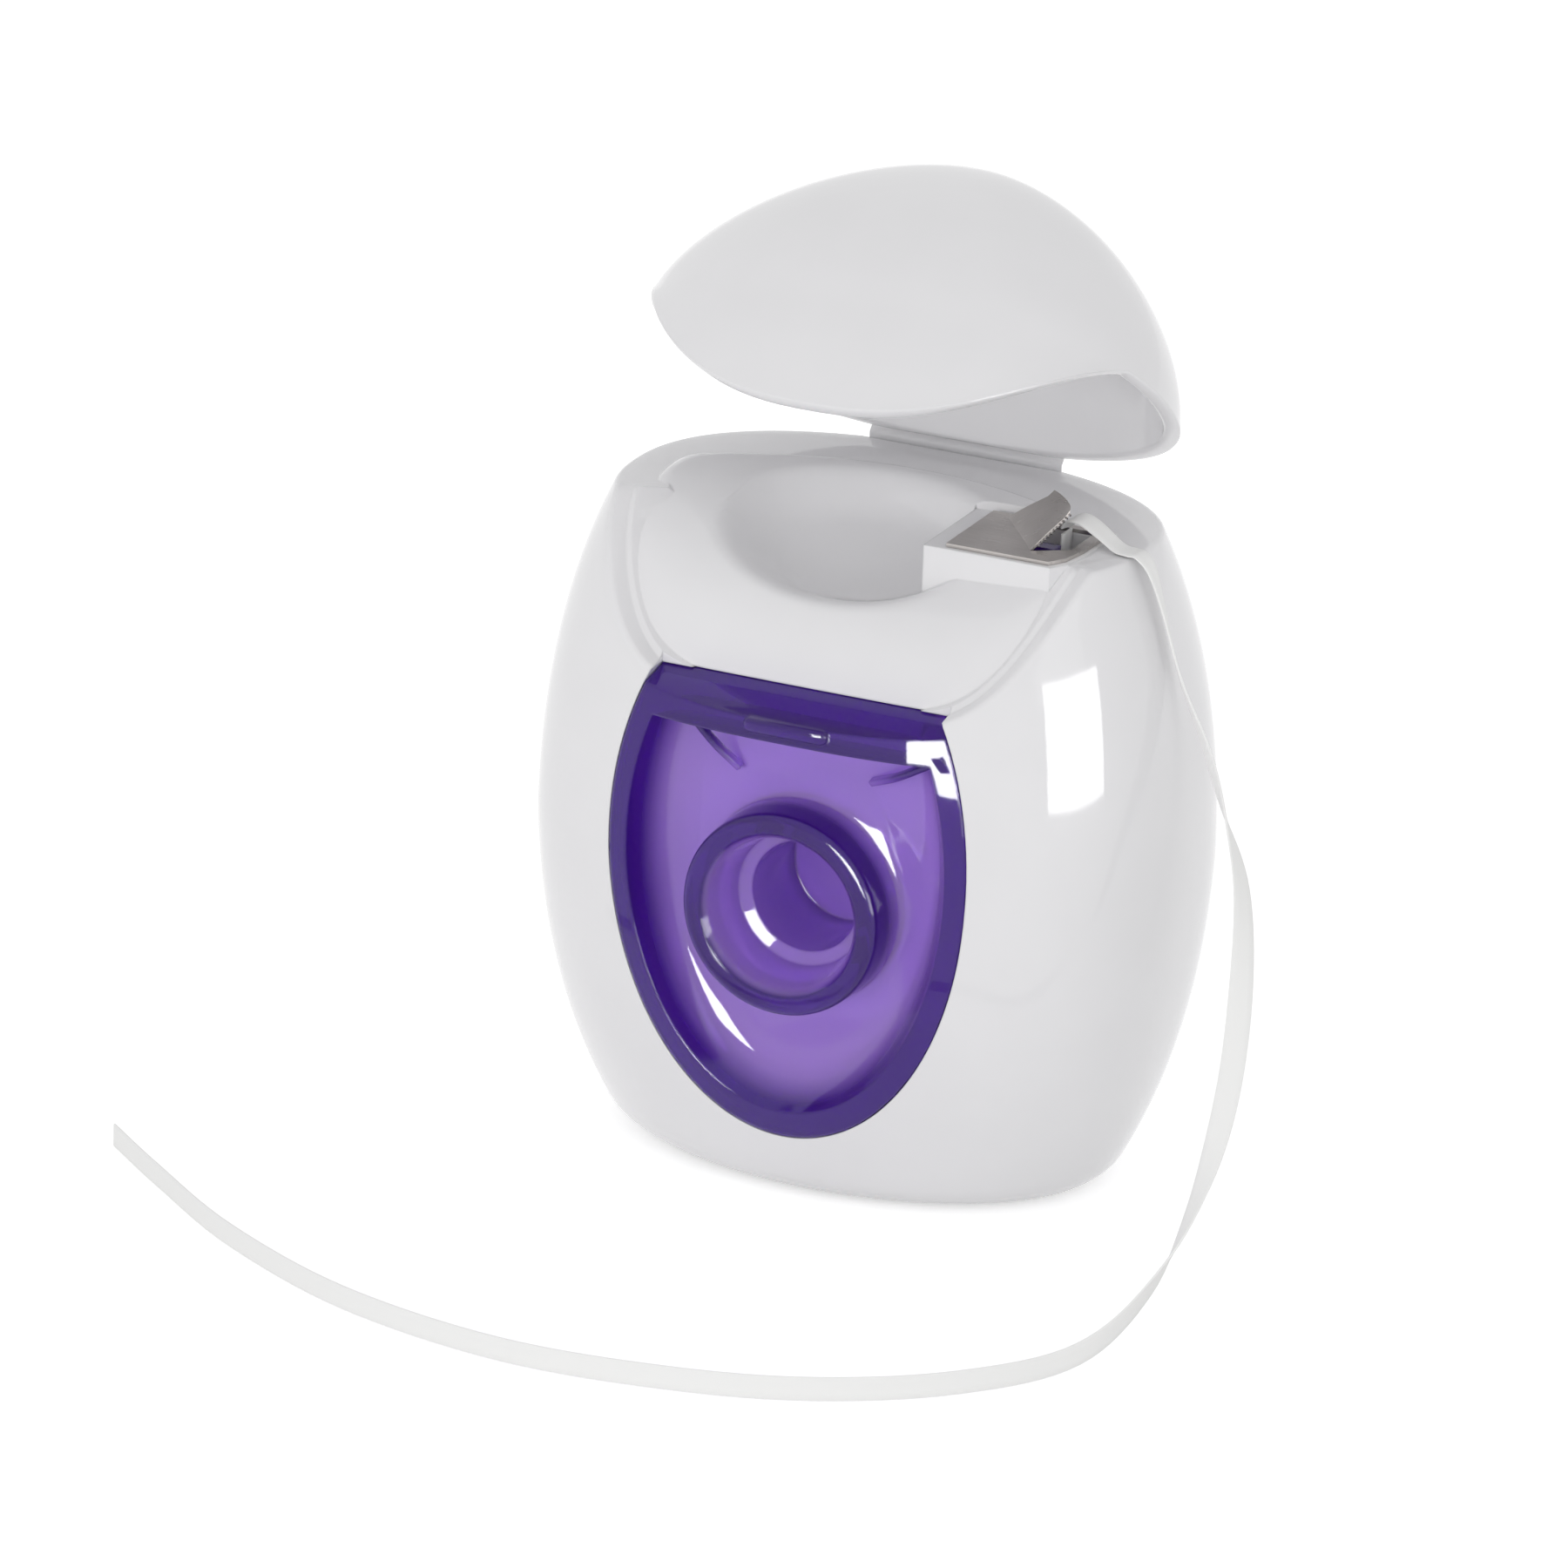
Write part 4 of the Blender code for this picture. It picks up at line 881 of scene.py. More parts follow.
def cavity():
    angles = ring_angles(CAVITY_POINTS)
    levels = [CASE_FLOOR + FLOOR_FILLET * share for share in floor_shares]
    low = levels[-1]
    levels += [low + (DECK_LOW - low) * share for share in cavity_shares]
    rings = []
    for z in levels:
        corner = base_inset(z - CASE_FLOOR, FLOOR_FILLET)
        draw = base_inset(z)
        rings.append([cavity_point(angle, z, corner + draw) for angle in angles])
    rings.append([cavity_point(angle, DECK_LOW, FLOOR_FILLET) for angle in angles])
    return loft("cavity", rings)


def in_metres(plan):
    return [(x * mm, y * mm) for x, y in plan]


def window_half_width(z, side=0.0, bottom=0.0):
    reach = WINDOW_DROP - bottom if z < WINDOW_WIDE_HEIGHT else WINDOW_RISE - side
    return (WINDOW_HALF_WIDTH - side) * shrink((z - WINDOW_WIDE_HEIGHT) / reach, 2.0)


def window_outline(side, bottom, top):
    """Egg outline in x, z, drawn in by side and bottom and cut level at the top."""
    lowest = WINDOW_WIDE_HEIGHT - WINDOW_DROP + bottom
    right = []
    for step in range(1, EGG_POINTS // 2):
        turn = math.pi / 2 * step / (EGG_POINTS // 2)
        right.append(WINDOW_WIDE_HEIGHT - (WINDOW_WIDE_HEIGHT - lowest) * math.cos(turn))
    for step in range(EGG_TOP_STEPS + 1):
        right.append(WINDOW_WIDE_HEIGHT + (top - WINDOW_WIDE_HEIGHT) * step / EGG_TOP_STEPS)
    outline = [(0.0, lowest)]
    outline += [(window_half_width(z, side, bottom), z) for z in right]
    outline += [(-window_half_width(z, side, bottom), z) for z in reversed(right)]
    return outline


def web_notch(name, low, high):
    """Room for the web hinge in the back edge, right through to the outside."""
    reach = WEB_HALF_WIDTH + PART_GAP
    inner = hinge_y() - WEB_THICKNESS / 2 - PART_GAP
    return box(name, (-reach, inner, low), (reach, CASE_HALF_DEPTH + OVERRUN, high))


def hinge_y():
    return form_y(0, CASE_HEIGHT) - WEB_INSET


def hinge_z():
    return CASE_HEIGHT + LID_GAP / 2


def build_case():
    """The case with its neck, scoop, cutter seat and openings."""
    built = case_body()
    join(built, rear_ledge())
    join(built, neck())
    top = CASE_HEIGHT + SEAT_RISE
    join(built, prism("seat", in_metres(seat_plan), "Z", top - SEAT_FOOT, top))
    relief = [(x if x < seat_split else x + PART_GAP, y) for x, y in in_metres(seat_plan)]
    cut(built, prism("seat_relief", relief, "Z", top, top + OVERRUN))
    cut(built, cavity())
    lip = LIP_HEIGHT + WINDOW_EDGE
    opening = window_outline(-WINDOW_EDGE, -WINDOW_EDGE, lip)
    hole = prism("window_hole", opening, "Y", CUT_FRONT, DISH_FLOOR_Y + HOLE_DEPTH)
    cut(built, hole)
    reach = window_half_width(LIP_HEIGHT)
    clear = box("lip_clear", (-reach, CUT_FRONT, lip), (reach, lip_y(), LIP_HEIGHT + LIP_CLEAR))
    cut(built, clear)
    high = CASE_HEIGHT + OVERRUN
    slot = prism("slot_hole", in_metres(opening_plan), "Z", DECK_LOW - SLOT_OVERRUN, high)
    cut(built, slot)
    cut(built, web_notch("case_notch", hinge_z() - WEB_LEG - PART_GAP, high))
    finish_piece(built, "case_moulding", "glossy_case_plastic", SHARP_MOULDING)
    return place_on(built, "case", "case_shell")


# Lid


def lid_point(angle, rise, inset):
    """Point of the lid: rise runs from 0 at its rim to 1 at its top."""
    low = seam_height(angle, TONGUE_LOW - LID_GAP, lid_seam_power) + LID_GAP
    high = CASE_HEIGHT + LID_RISE - inset
    z = low + (high - low) * rise
    if z <= CASE_HEIGHT:
        return form_point(angle, z, inset)
    share = (z - CASE_HEIGHT) / (high - CASE_HEIGHT)
    point = form_point(angle, CASE_HEIGHT + LID_RISE * share, 0.0)
    rim = form_point(angle, CASE_HEIGHT, 0.0)
    inner = form_point(angle, CASE_HEIGHT, inset)
    return Vector((point.x * inner.x / rim.x, point.y * inner.y / rim.y, z))


def open_turn():
    centre = Vector((0, hinge_y(), hinge_z()))
    turn = Matrix.Rotation(-lid_open, 4, "X")
    return Matrix.Translation(centre) @ turn @ Matrix.Translation(-centre)


def build_lid():
    """The lid, shaped as it sits closed and then turned open about the web hinge."""
    angles = ring_angles()
    rises = [1 - (1 - step / LID_ROWS) ** lid_row_power for step in range(1, LID_ROWS)]
    outside = [[lid_point(angle, rise, 0.0) for angle in angles] for rise in rises]
    inside = [[lid_point(angle, rise, LID_WALL) for angle in angles] for rise in reversed(rises)]
    rim = []
    for step in range(LID_RIM_STEPS + 1):
        turn = math.pi * step / LID_RIM_STEPS
        inset = LID_WALL * (1 + math.cos(turn)) ** rim_inset_power / 2**rim_inset_power
        lift = Vector((0, 0, LID_RIM_SOFT * (1 - math.sin(turn) ** rim_lift_power)))
        rim.append([lid_point(angle, 0.0, min(inset, LID_WALL)) + lift for angle in angles])
    top = CASE_HEIGHT + LID_RISE
    under = Vector((0, 0, top - LID_WALL))
    built = loft("lid_form", inside + rim + outside, start=under, end=Vector((0, 0, top)))
    notch = web_notch("lid_notch", CASE_HEIGHT - LID_GAP, hinge_z() + WEB_LEG + PART_GAP)
    cut(built, notch)
    built.data.transform(open_turn())
    finish_piece(built, "lid_moulding", "glossy_case_plastic", SHARP_MOULDING)
    return place_on(built, "lid", "lid_shell")


def ribbon(name, points, widths, width, thickness):
    """Flat strip along points, slightly crowned; its width lies in one direction, or in one for
    each point."""
    if isinstance(widths, Vector):
        widths = [widths] * len(points)
    rings = []
    profile = ribbon_half + tuple((-across, -up) for across, up in ribbon_half)
    for step, point in enumerate(points):
        before, after = points[max(0, step - 1)], points[min(len(points) - 1, step + 1)]
        run = (after - before).normalized()
        across = (widths[step] - run * widths[step].dot(run)).normalized()
        through = run.cross(across).normalized()
        ring = []
        for side, up in profile:
            ring.append(point + across * (side * width) + through * (up * thickness))
        rings.append(ring)
    return loft(name, rings)


def build_hinge():
    """Thin strip that bends between case and lid."""
    lean = Vector((0, math.sin(lid_open), math.cos(lid_open)))
    middle = Vector((0, hinge_y(), hinge_z()))
    points = []
    for step in range(-WEB_ROWS, WEB_ROWS + 1):
        run = lean if step > 0 else Vector((0, 0, 1))
        points.append(middle + run * (step / WEB_ROWS * WEB_LEG))
    across = Vector((1, 0, 0))
    built = ribbon("hinge_strip", points, across, 2 * WEB_HALF_WIDTH, WEB_THICKNESS)
    finish_piece(built, "hinge_strip", "glossy_case_plastic")
    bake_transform(built)
    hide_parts("hinge_web")
    return built


# Window insert


def lip_y():
    return -(form_y(0, LIP_HEIGHT) - LIP_INSET)


def above_shelf():
    """The space over the insert's shelf, which falls forward from the lip to the case's front."""
    back, high = lip_y(), LIP_HEIGHT + OVERRUN
    low = LIP_HEIGHT - SHELF_FALL / (form_y(0, LIP_HEIGHT) + back) * (back - CUT_FRONT)
    across = WINDOW_HALF_WIDTH + OVERRUN
    outline = ((back, LIP_HEIGHT), (back, high), (CUT_FRONT, high), (CUT_FRONT, low))
    rings = [[Vector((x, y, z)) for y, z in outline] for x in (-across, across)]
    return loft("above_shelf", rings)


def outer_form(name, top):
    steps = [step / FORM_ROWS for step in range(FORM_ROWS + 1)]
    levels = [BASE_FILLET + (top - BASE_FILLET) * share for share in steps]
    return loft(name, [[form_point(angle, z) for angle in ring_angles()] for z in levels])


def dish():
    """Hollow of the insert: its walls lean in from a narrow rim and round over to the floor."""
    levels = [(CUT_FRONT, *dish_mouth)]
    levels += [(y * mm, side, bottom) for y, side, bottom in dish_levels]
    levels.append((DISH_FLOOR_Y, *dish_floor))
    rings = []
    for y, side, bottom in levels:
        outline = window_outline(side * mm, bottom * mm, DISH_TOP)
        rings.append([Vector((x, y, z)) for x, z in outline])
    return loft("dish", rings)


def rounded(profile, corners):
    """The profile with the named corners rounded: corners maps a point's place to its radius."""
    made = []
    for index, point in enumerate(profile):
        radius = corners.get(index)
        if radius is None:
            made.append(point)
            continue
        here = Vector(point)
        before = (Vector(profile[index - 1]) - here).normalized() * radius
        after = (Vector(profile[index + 1]) - here).normalized() * radius
        for step in range(CORNER_STEPS + 1):
            t = step / CORNER_STEPS
            place = here + before * (1 - t) ** 2 + after * t**2
            made.append((place.x, place.y))
    return made


def spindle():
    """Ring boss at the front and the hollow bobbin spindle behind it, one turned form."""
    stop = BOBBIN_FRONT_Y - PART_GAP
    end = BOBBIN_FRONT_Y + BOBBIN_WIDTH
    socket = SPINDLE_RADIUS - SPINDLE_WALL
    floor = WELL_BOTTOM_Y + DISH_FLOOR_THICKNESS
    profile = [
        (RING_MOUTH - 1 * mm, RING_PROUD_Y),
        (RING_RADIUS - RING_TAPER, RING_PROUD_Y),
        (RING_RADIUS, DISH_FLOOR_Y - FLOOR_STEP),
        (RING_RADIUS + RING_FOOT, DISH_FLOOR_Y + FLOOR_STEP),
        (CORE_RADIUS, DISH_BACK),
        (CORE_RADIUS, stop),
        (SPINDLE_RADIUS, stop),
        (SPINDLE_RADIUS, end),
        (socket, end),
        (socket, floor),
    ]
    return turned_about_y("spindle", rounded(profile, {1: RING_CORNER}))


def well():
    """The ring boss's hollow: a mouth that narrows to a deep round well."""
    profile = [
        (RING_MOUTH + 1.0 * mm, RING_PROUD_Y - 0.6 * mm),
        (RING_MOUTH + MOUTH_FLARE, RING_PROUD_Y),
        (RING_MOUTH, RING_PROUD_Y + MOUTH_FLARE),
        (WELL_RADIUS + WELL_THROAT, DISH_FLOOR_Y + FLOOR_STEP),
        (WELL_RADIUS, DISH_FLOOR_Y + 0.5 * mm),
        (WELL_RADIUS, WELL_BOTTOM_Y),
    ]
    return turned_about_y("well", rounded(profile, {1: MOUTH_CORNER, 2: MOUTH_CORNER}))


def thumb_bar():
    """Small grip under the shelf's front edge, a rounded bar."""
    deep, tall = THUMB_BAR
    z = LIP_HEIGHT - SHELF_FALL - tall
    middle = -form_y(0, z) - THUMB_BAR_PROUD + deep
    rings = []
    for x, size in thumb_stations:
        ring = []
        for angle in ring_angles(BAR_POINTS):
            along, up = math.cos(angle), math.sin(angle)
            along = math.copysign(abs(along) ** thumb_bar_power, along) * size
            up = math.copysign(abs(up) ** thumb_bar_power, up) * size
            ring.append(Vector((x * mm, middle + deep * along, z + tall * up)))
        rings.append(ring)
    return loft("thumb_bar", rings)


def guide_arm():
    """Arm of the insert that rises behind the neck's front and ends under the cutter's opening."""
    edge, tip = window_half_width(DISH_TOP, ARM_INSET), CASE_HEIGHT - ARM_TOP_GAP
    rows = (
        (edge, DISH_BACK - 0.5 * mm, DISH_TOP - 1 * mm),
        (edge, DISH_BACK + 1 * mm, DISH_TOP),
        (ARM_SIDE, ARM_Y - 1 * mm, DISH_TOP + (tip - DISH_TOP) / 3),
        (ARM_SIDE, ARM_Y, DISH_TOP + (tip - DISH_TOP) / 2),
        (ARM_SIDE, ARM_Y, tip),
    )
    return ribbon("guide_arm", vectors(rows), Vector((1, 0, 0)), ARM_WIDTH, ARM_THICKNESS)


def dish_rib(name, points):
    """Thin moulded rib from the shelf down to the dish's floor."""
    places = smooth_route([Vector(point) * mm for point in points], RIB_STEPS)
    return ribbon(name, places, RIB_LEAN, RIB_WIDTH, RIB_THICKNESS)


def build_window():
    """The see-through insert: dish, shelf, thumb bar, ring and spindle."""
    outline = window_outline(0, 0, LIP_HEIGHT)
    built = prism("insert_form", outline, "Y", CUT_FRONT, DISH_BACK)
    combine(built, outer_form("insert_skin", CASE_HEIGHT - 2 * mm), "INTERSECT")
    cut(built, dish())
    cut(built, above_shelf())
    join(built, guide_arm())
    join(built, spindle())
    cut(built, well())
    join(built, thumb_bar())
    for name, points in zip(("rib_left", "rib_right"), rib_points):
        join(built, dish_rib(name, points))
    finish_piece(built, "window_dish", "clear_window_plastic", SHARP_WINDOW)
    return place_on(built, "case", "window_insert")


# Cutter


def cutter_flap(low):
    """Flap bent up out of the plate along a slanting line, narrowing to a rounded tip."""
    root = [Vector(corner) * mm for corner in flap_root]
    tip = [Vector(corner) * mm for corner in flap_tip]
    rings = []
    for row in range(FLAP_ROWS + 1):
        share = row / FLAP_ROWS
        lift = share**flap_lift_power
        sink = FLAP_SINK * (1 - share) ** flap_sink_power
        over = max(0.0, share - FLAP_ROUND_FROM) / (1 - FLAP_ROUND_FROM)
        outer, under = [], []
        for column in range(FLAP_COLUMNS + 1):
            side = column / FLAP_COLUMNS
            end = share - FLAP_ROUND * over * (abs(side - 0.5) * 2) ** flap_round_power
            place = root[0].lerp(root[1], side).lerp(tip[0].lerp(tip[1], side), end)
            z = low + (FLAP_RISES[0] * (1 - side) + FLAP_RISES[1] * side) * lift - sink
            outer.append(Vector((place.x, place.y, z + STEEL_THICKNESS)))
            under.append(Vector((place.x, place.y, z)))
        rings.append(outer + under[::-1])
    return loft("flap", rings)


def new_tree(name, **inputs):
    """An empty geometry nodes tree with these inputs, and what the inputs give."""
    tree = bpy.data.node_groups.new(name, "GeometryNodeTree")
    for label, kind in inputs.items():
        tree.interface.new_socket(label, in_out="INPUT", socket_type=f"NodeSocket{kind}")
    tree.interface.new_socket("Geometry", in_out="OUTPUT", socket_type="NodeSocketGeometry")
    return tree, tree.nodes.new("NodeGroupInput").outputs


def end_tree(tree, geometry, coat):
    """Ends the tree in a plain mesh with its finish."""
    real = add_node(tree, "GeometryNodeRealizeInstances", {"Geometry": geometry})
    values = {"Geometry": real.outputs["Geometry"], "Material": finish_of(coat)}
    painted = add_node(tree, "GeometryNodeSetMaterial", values)
    add_node(tree, "NodeGroupOutput", {"Geometry": painted.outputs["Geometry"]})
    return tree


def teeth_tree(coat):
    """Geometry nodes: small wedges in a row along a straight edge."""
    kinds = {"Teeth": "Int", "From": "Vector", "To": "Vector", "Tooth": "Float", "Turn": "Vector"}
    tree, given = new_tree("cutter_teeth", **kinds)
    values = {"Count": given["Teeth"], "Start Location": given["From"], "Offset": given["To"]}
    line = add_node(tree, "GeometryNodeMeshLine", values, mode="END_POINTS")
    values = {
        "Vertices": TOOTH_SIDES,
        "Radius Top": 0.0,
        "Radius Bottom": given["Tooth"],
        "Depth": worked(tree, "MULTIPLY", given["Tooth"], tooth_stretch),
    }
    cone = add_node(tree, "GeometryNodeMeshCone", values)
    values = {
        "Points": line.outputs["Mesh"],
        "Instance": cone.outputs["Mesh"],
        "Rotation": given["Turn"],
    }
    spot = add_node(tree, "GeometryNodeInstanceOnPoints", values)
    return end_tree(tree, spot.outputs["Instances"], coat)


def grown(name, tree, values):
    """A plain mesh made by a geometry nodes tree with these named values."""
    built = mesh_object(name, [], [])
    grower = built.modifiers.new(name, "NODES")
    grower.node_group = tree
    for item in tree.interface.items_tree:
        if item.in_out == "INPUT":
            grower[item.identifier] = values[item.name]
    built.update_tag()
    return applied(built)


def build_cutter():
    """The steel cutter, its bent flap and its teeth."""
    low = CASE_HEIGHT + SEAT_RISE + STEEL_GAP
    high = low + STEEL_THICKNESS
    coat = "rolled_steel"
    built = prism("plate", in_metres(plate_plan), "Z", low, high)
    opening = prism("opening", in_metres(opening_plan), "Z", low - OVERRUN, high + OVERRUN)
    cut(built, opening)
    join(built, cutter_flap(low))
    finish_piece(built, "cutter", coat)
    place_on(built, "case", "cutter_plate")
    rise = Vector((0, 0, low))
    values = {
        "Teeth": sizes().teeth,
        "From": rise + teeth_from,
        "To": rise + teeth_to,
        "Tooth": TOOTH,
        "Turn": teeth_turn,
    }
    teeth = grown("cutter_teeth", teeth_tree(coat), values)
    finish_piece(teeth, "cutter_teeth", coat)
    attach(teeth, "case")
    return built


# Bobbin and floss


def winding_tree(coat):
    """Geometry nodes: one thread wound side by side about a level axis."""
    kinds = {"Turns": "Float", "Radius": "Float", "Run": "Float", "Thread": "Float"}
    tree, given = new_tree("wound_turns", Centre="Vector", **kinds)
    values = {
        "Resolution": TURN_POINTS,
        "Rotations": given["Turns"],
        "Start Radius": given["Radius"],
        "End Radius": given["Radius"],
        "Height": given["Run"],
    }
    spiral = add_node(tree, "GeometryNodeCurveSpiral", values)
    values = {
        "Geometry": spiral.outputs["Curve"],
        "Rotation": (-math.pi / 2, 0, 0),
        "Translation": given["Centre"],
    }
    lie = add_node(tree, "GeometryNodeTransform", values)
    half = worked(tree, "MULTIPLY", given["Thread"], 0.5)
    values = {"Resolution": THREAD_SIDES, "Radius": half}
    section = add_node(tree, "GeometryNodeCurvePrimitiveCircle", values)
    values = {
        "Curve": lie.outputs["Geometry"],
        "Profile Curve": section.outputs["Curve"],
        "Fill Caps": True,
    }
    tube = add_node(tree, "GeometryNodeCurveToMesh", values)
    return end_tree(tree, tube.outputs["Mesh"], coat)


def build_winding():
    """The floss on the bobbin: an outer layer of turns and the pack inside it."""
    coat = "waxed_floss"
    thread = sizes().thread
    front = BOBBIN_FRONT_Y + PACK_MARGIN
    values = {
        "Turns": float(sizes().turns),
        "Radius": PACK_RADIUS + WINDING_GAP + thread / 2,
        "Run": BOBBIN_WIDTH - 2 * PACK_MARGIN - thread,
        "Thread": thread,
        "Centre": Vector((0, front + thread / 2, BOBBIN_HEIGHT)),
    }
    turns = grown("wound_turns", winding_tree(coat), values)
    face_out(turns)
    finish_piece(turns, "wound_turns", coat, SHARP_THREAD)
    place_on(turns, "bobbin", "floss_winding")
    inner = CORE_RADIUS + BODY_GAP
    back = front + BOBBIN_WIDTH - 2 * PACK_MARGIN
    profile = [(inner, front)]
    count = PACK_LAYERS * LAYER_STEPS
    for step in range(count + 1):
        ridge = LAYER_RIDGE * abs(math.cos(math.pi * step / LAYER_STEPS))
        profile.append((PACK_RADIUS - ridge, front + (back - front) * step / count))
    profile.append((inner, back))
    body = turned_about_y("wound_body", profile, closed=True)
    finish_piece(body, "wound_body", coat, SHARP_THREAD)
    place_on(body, "bobbin", "floss_pack")
    return turns


def smooth_route(points, steps):
    """Points along a smooth curve through the route's own points."""
    padded = [points[0] * 2 - points[1], *points, points[-1] * 2 - points[-2]]
    read = []
    for index in range(1, len(padded) - 2):
        before, start, end, after = padded[index - 1 : index + 3]
        first = end - before
        second = before * 2 - start * 5 + end * 4 - after
        third = start * 3 - before - end * 3 + after
        for step in range(steps):
            t = step / steps
            read.append((start * 2 + first * t + second * t**2 + third * t**3) / 2)
    read.append(points[-1])
    return read


def tape_points():
    """Points along the free floss, and the direction of its width at each."""
    return [smooth_route(vectors(rows), ROUTE_STEPS) for rows in zip(*tape_route)]


def build_free_floss():
    """The length of floss that is pulled out."""
    points, widths = tape_points()
    width = sizes().tape_width
    built = ribbon("free_floss", points, widths, width, TAPE_THICKNESS)
    finish_piece(built, "free_floss", "waxed_floss", SHARP_TAPE)
    place_on(built, "case", "floss_tape")
    return built


def build_lead():
    """The lead inside the case, from beside the winding up to the cutter."""
    start = Vector(tape_route[0][0])
    side = BOBBIN_FRONT_Y + BOBBIN_WIDTH / 3
    rows = (
        (FEED_X, side, BOBBIN_HEIGHT + FEED_START),
        (FEED_X, side, BOBBIN_HEIGHT + PACK_RADIUS),
        (FEED_X, start.y, DECK_LOW),
        start - Vector((0, 0, PART_GAP)),
    )
    points = smooth_route(vectors(rows), ROUTE_STEPS)
    across = Vector((0, 1, 0))
    built = ribbon("floss_lead", points, across, sizes().tape_width, TAPE_THICKNESS)
    finish_piece(built, "floss_lead", "waxed_floss", SHARP_TAPE)
    return place_on(built, "case", "floss_feed")


def build_core():
    """The bobbin core stays as it is in the frame and gets its finish."""
    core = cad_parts["bobbin_core"]
    core.data.materials.clear()
    core.data.materials.append(finish_of("natural_core_plastic"))
    return core


# Camera, floor and light


def aim(place, target):
    return (place - target).to_track_quat("Z", "Y").to_matrix().to_4x4()


def around(turn, height, reach):
    """A place at an angle round the object from its front, at a height angle and a distance."""
    flat = reach * math.cos(height)
    return Vector((flat * math.sin(turn), -flat * math.cos(turn), reach * math.sin(height)))


def build_camera():
    """The camera, set at the photograph's angle."""
    seen = bpy.data.cameras.new("photo_camera")
    camera = new_object("photo_camera", seen)
    place = CAMERA_AIM + around(camera_turn, camera_height, CAMERA_DISTANCE)
    facing = aim(place, CAMERA_AIM) @ Matrix.Rotation(camera_roll, 4, "Z")
    camera.matrix_world = Matrix.Translation(place) @ facing
    seen.sensor_width = SENSOR
    seen.lens = PIXELS_PER_RADIAN / PHOTO_PIXELS * SENSOR
    seen.clip_start = CAMERA_NEAR
    seen.shift_x = (PHOTO_PIXELS / 2 - PHOTO_CENTRE_PIXEL[0]) / PHOTO_PIXELS
    seen.shift_y = (PHOTO_CENTRE_PIXEL[1] - PHOTO_PIXELS / 2) / PHOTO_PIXELS
    bpy.context.scene.camera = camera
    return camera


def lamp(name, direction, size, power, rise=0.0):
    """A lamp that looks at the object and that the camera doesn't see."""
    turn, height, reach = direction
    place = around(math.radians(turn), math.radians(height), reach) + Vector((0, 0, rise))
    light = bpy.data.lights.new(name, "AREA")
    light.shape = "RECTANGLE"
    light.size, light.size_y = size
    light.energy = power
    made = new_object(name, light)
    made.matrix_world = Matrix.Translation(place) @ aim(place, LAMP_AIM)
    made.visible_camera = False
    return made


def seen_by_eye(tree):
    """1 for camera, mirror and see-through rays, 0 for the rest."""
    path = add_node(tree, "ShaderNodeLightPath").outputs
    either = worked(tree, "ADD", path["Is Camera Ray"], path["Is Glossy Ray"])
    return worked(tree, "ADD", either, path["Is Transmission Ray"], clamp=True)


def build_floor():
    """Pale floor that glows a little for the eye, but gives the object no light by it."""
    half = sizes().floor
    corners = [(-half, -half, 0), (half, -half, 0), (half, half, 0), (-half, half, 0)]
    floor = mesh_object("studio_floor", corners, [(0, 1, 2, 3)])
    floor.location.z = -FLOOR_DROP
    made, tree, shader = new_finish("pale_floor")
    values = {
        "Base Color": (*colours().ground, 1.0),
        "Roughness": FLOOR_ROUGHNESS,
        "Specular IOR Level": FLOOR_SPECULAR,
    }
    fill(tree, shader, values)
    strength = worked(tree, "MULTIPLY", seen_by_eye(tree), FLOOR_GLOW)
    glow = add_node(tree, "ShaderNodeEmission", {"Strength": strength})
    values = {0: shader.outputs["BSDF"], 1: glow.outputs["Emission"]}
    joined = add_node(tree, "ShaderNodeAddShader", values)
    fill(tree, tree.nodes["Material Output"], {"Surface": joined.outputs["Shader"]})
    floor.data.materials.append(made)
    return floor


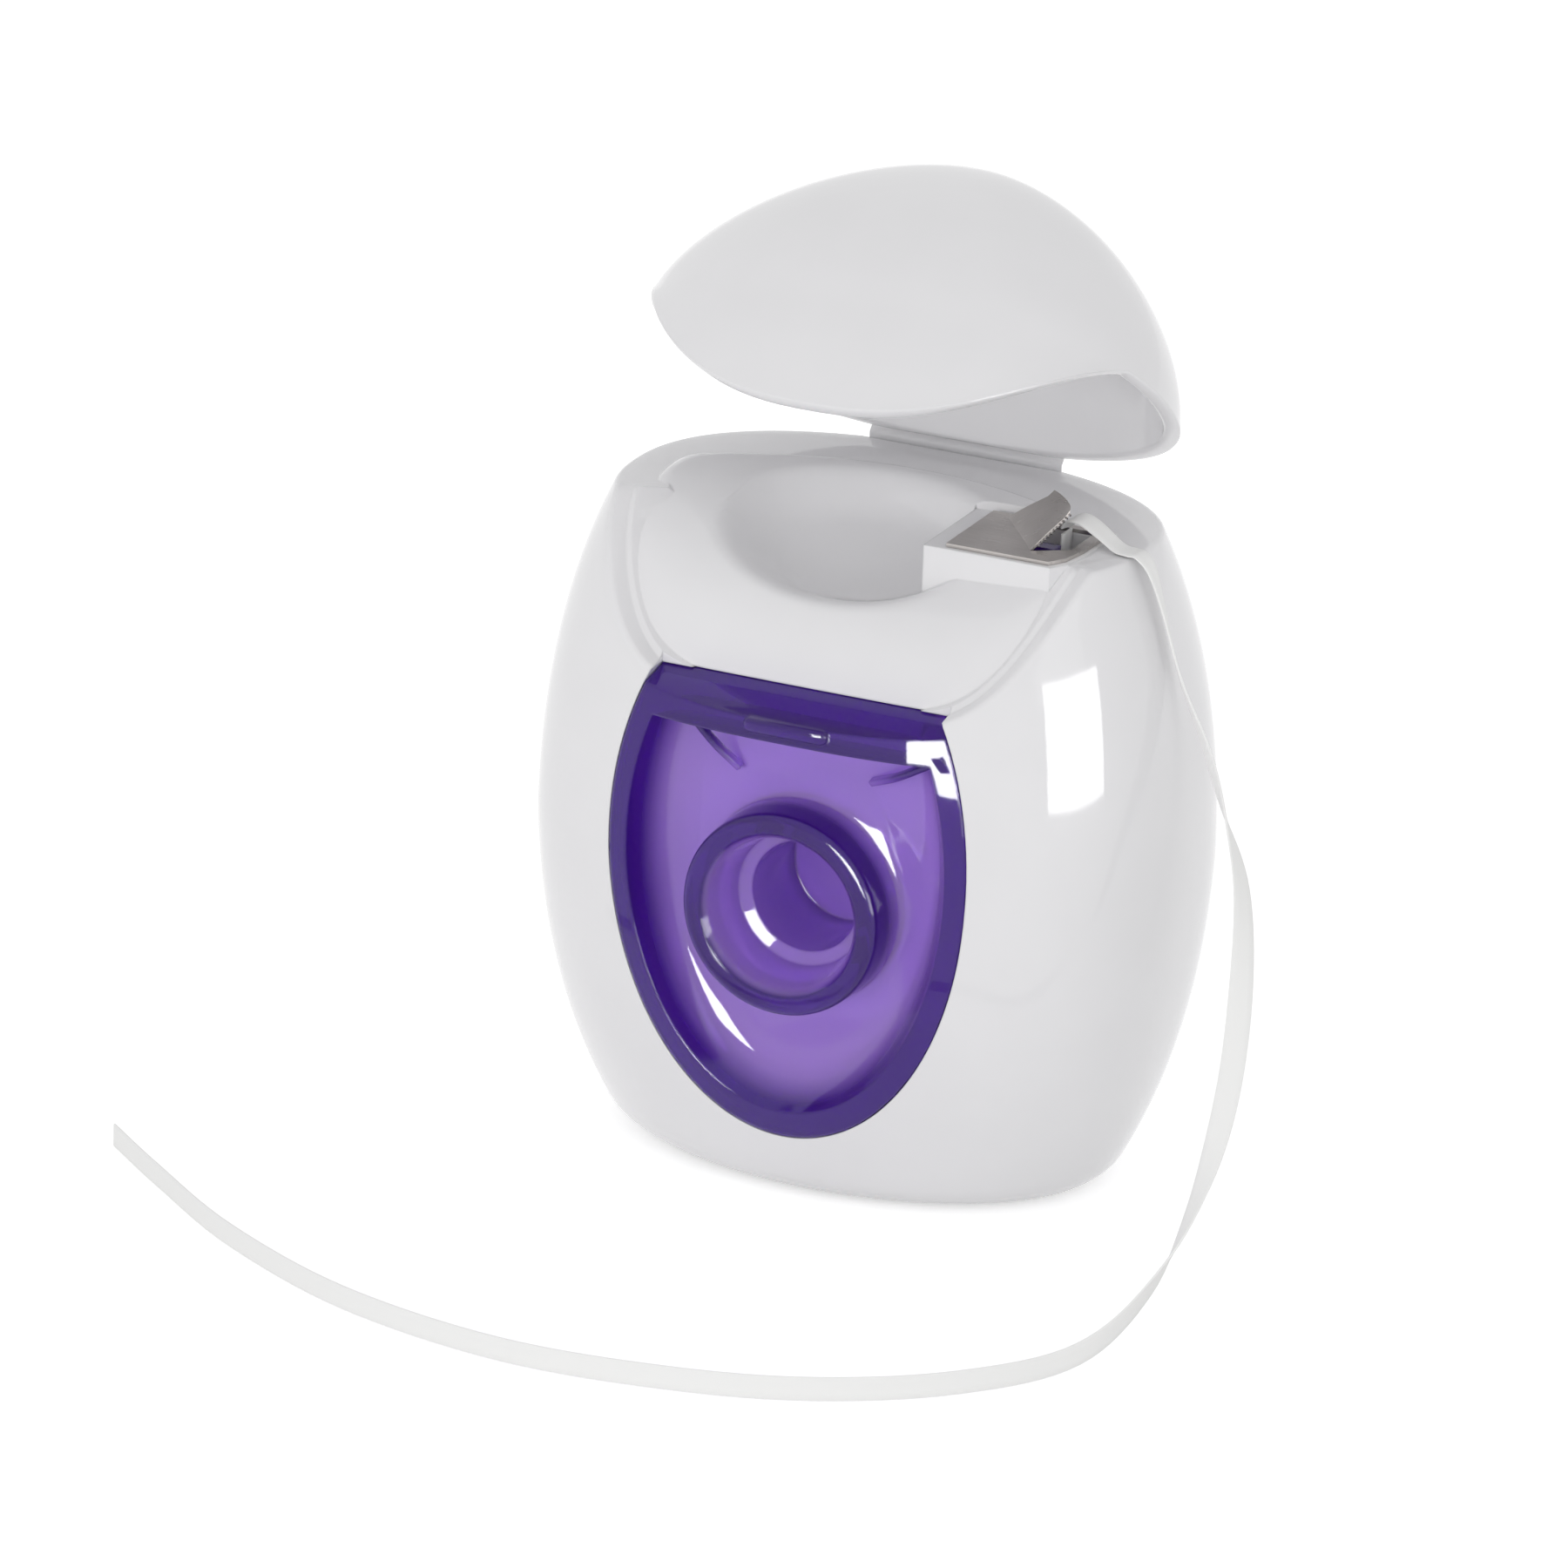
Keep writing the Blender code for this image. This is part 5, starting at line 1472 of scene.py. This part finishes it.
def build_stage():
    """Floor, world and lamps."""
    floor = build_floor()
    world = bpy.data.worlds.new("studio")
    bpy.context.scene.world = world
    world.use_nodes = True
    tree = world.node_tree
    level = mapped(tree, seen_by_eye(tree), 0.0, 1.0, (SKY_LEVEL, 1.0))
    fill(tree, tree.nodes["Background"], {"Color": (1.0, 1.0, 1.0, 1.0), "Strength": level})
    lamp("softbox_right", *SOFTBOX, rise=SOFTBOX_RISE).visible_diffuse = False
    lamp("fill_right", *FILL)
    lamp("key_front", *KEY).visible_glossy = False
    glint = lamp("window_glint", *GLINT)
    glint.visible_diffuse = False
    only = bpy.data.collections.new("window_glint_only")
    only.objects.link(bpy.data.objects["window_dish"])
    glint.light_linking.receiver_collection = only
    bpy.context.scene.view_settings.view_transform = "Standard"
    return floor


def operator(label, work):
    """An operator class for one step of the build, named and described by its function."""

    def execute(self, context):
        work()
        return {"FINISHED"}

    name = work.__name__.removeprefix("build_")
    parts = {"bl_idname": f"dispenser.{name}", "bl_label": label, "__doc__": work.__doc__}
    return type(f"DISPENSER_OT_{name}", (bpy.types.Operator,), {**parts, "execute": execute})


steps = (
    operator("Camera", build_camera),
    operator("Free floss", build_free_floss),
    operator("Case", build_case),
    operator("Lid", build_lid),
    operator("Hinge", build_hinge),
    operator("Window insert", build_window),
    operator("Cutter", build_cutter),
    operator("Winding", build_winding),
    operator("Lead", build_lead),
    operator("Bobbin core", build_core),
    operator("Stage", build_stage),
)


class DISPENSER_PT_panel(bpy.types.Panel):
    """Sizes, colours and build steps of the floss dispenser."""

    bl_idname = "DISPENSER_PT_panel"
    bl_label = "Floss dispenser"
    bl_space_type = "VIEW_3D"
    bl_region_type = "UI"
    bl_category = "Dispenser"

    def draw(self, context):
        for group in (context.scene.dispenser_sizes, context.scene.dispenser_colours):
            box = self.layout.box()
            for name in group.bl_rna.properties.keys():
                if name not in ("rna_type", "name"):
                    box.prop(group, name)
        for step in steps:
            self.layout.operator(step.bl_idname)


classes = (DispenserSizes, DispenserColours, *steps, DISPENSER_PT_panel)


def register():
    for kind in classes:
        bpy.utils.register_class(kind)
    bpy.types.Scene.dispenser_sizes = PointerProperty(type=DispenserSizes)
    bpy.types.Scene.dispenser_colours = PointerProperty(type=DispenserColours)


def unregister():
    del bpy.types.Scene.dispenser_colours
    del bpy.types.Scene.dispenser_sizes
    for kind in reversed(classes):
        bpy.utils.unregister_class(kind)


def main():
    register()
    for step in steps:
        group, name = step.bl_idname.split(".")
        getattr(getattr(bpy.ops, group), name)()


if __name__ == "__main__":
    main()
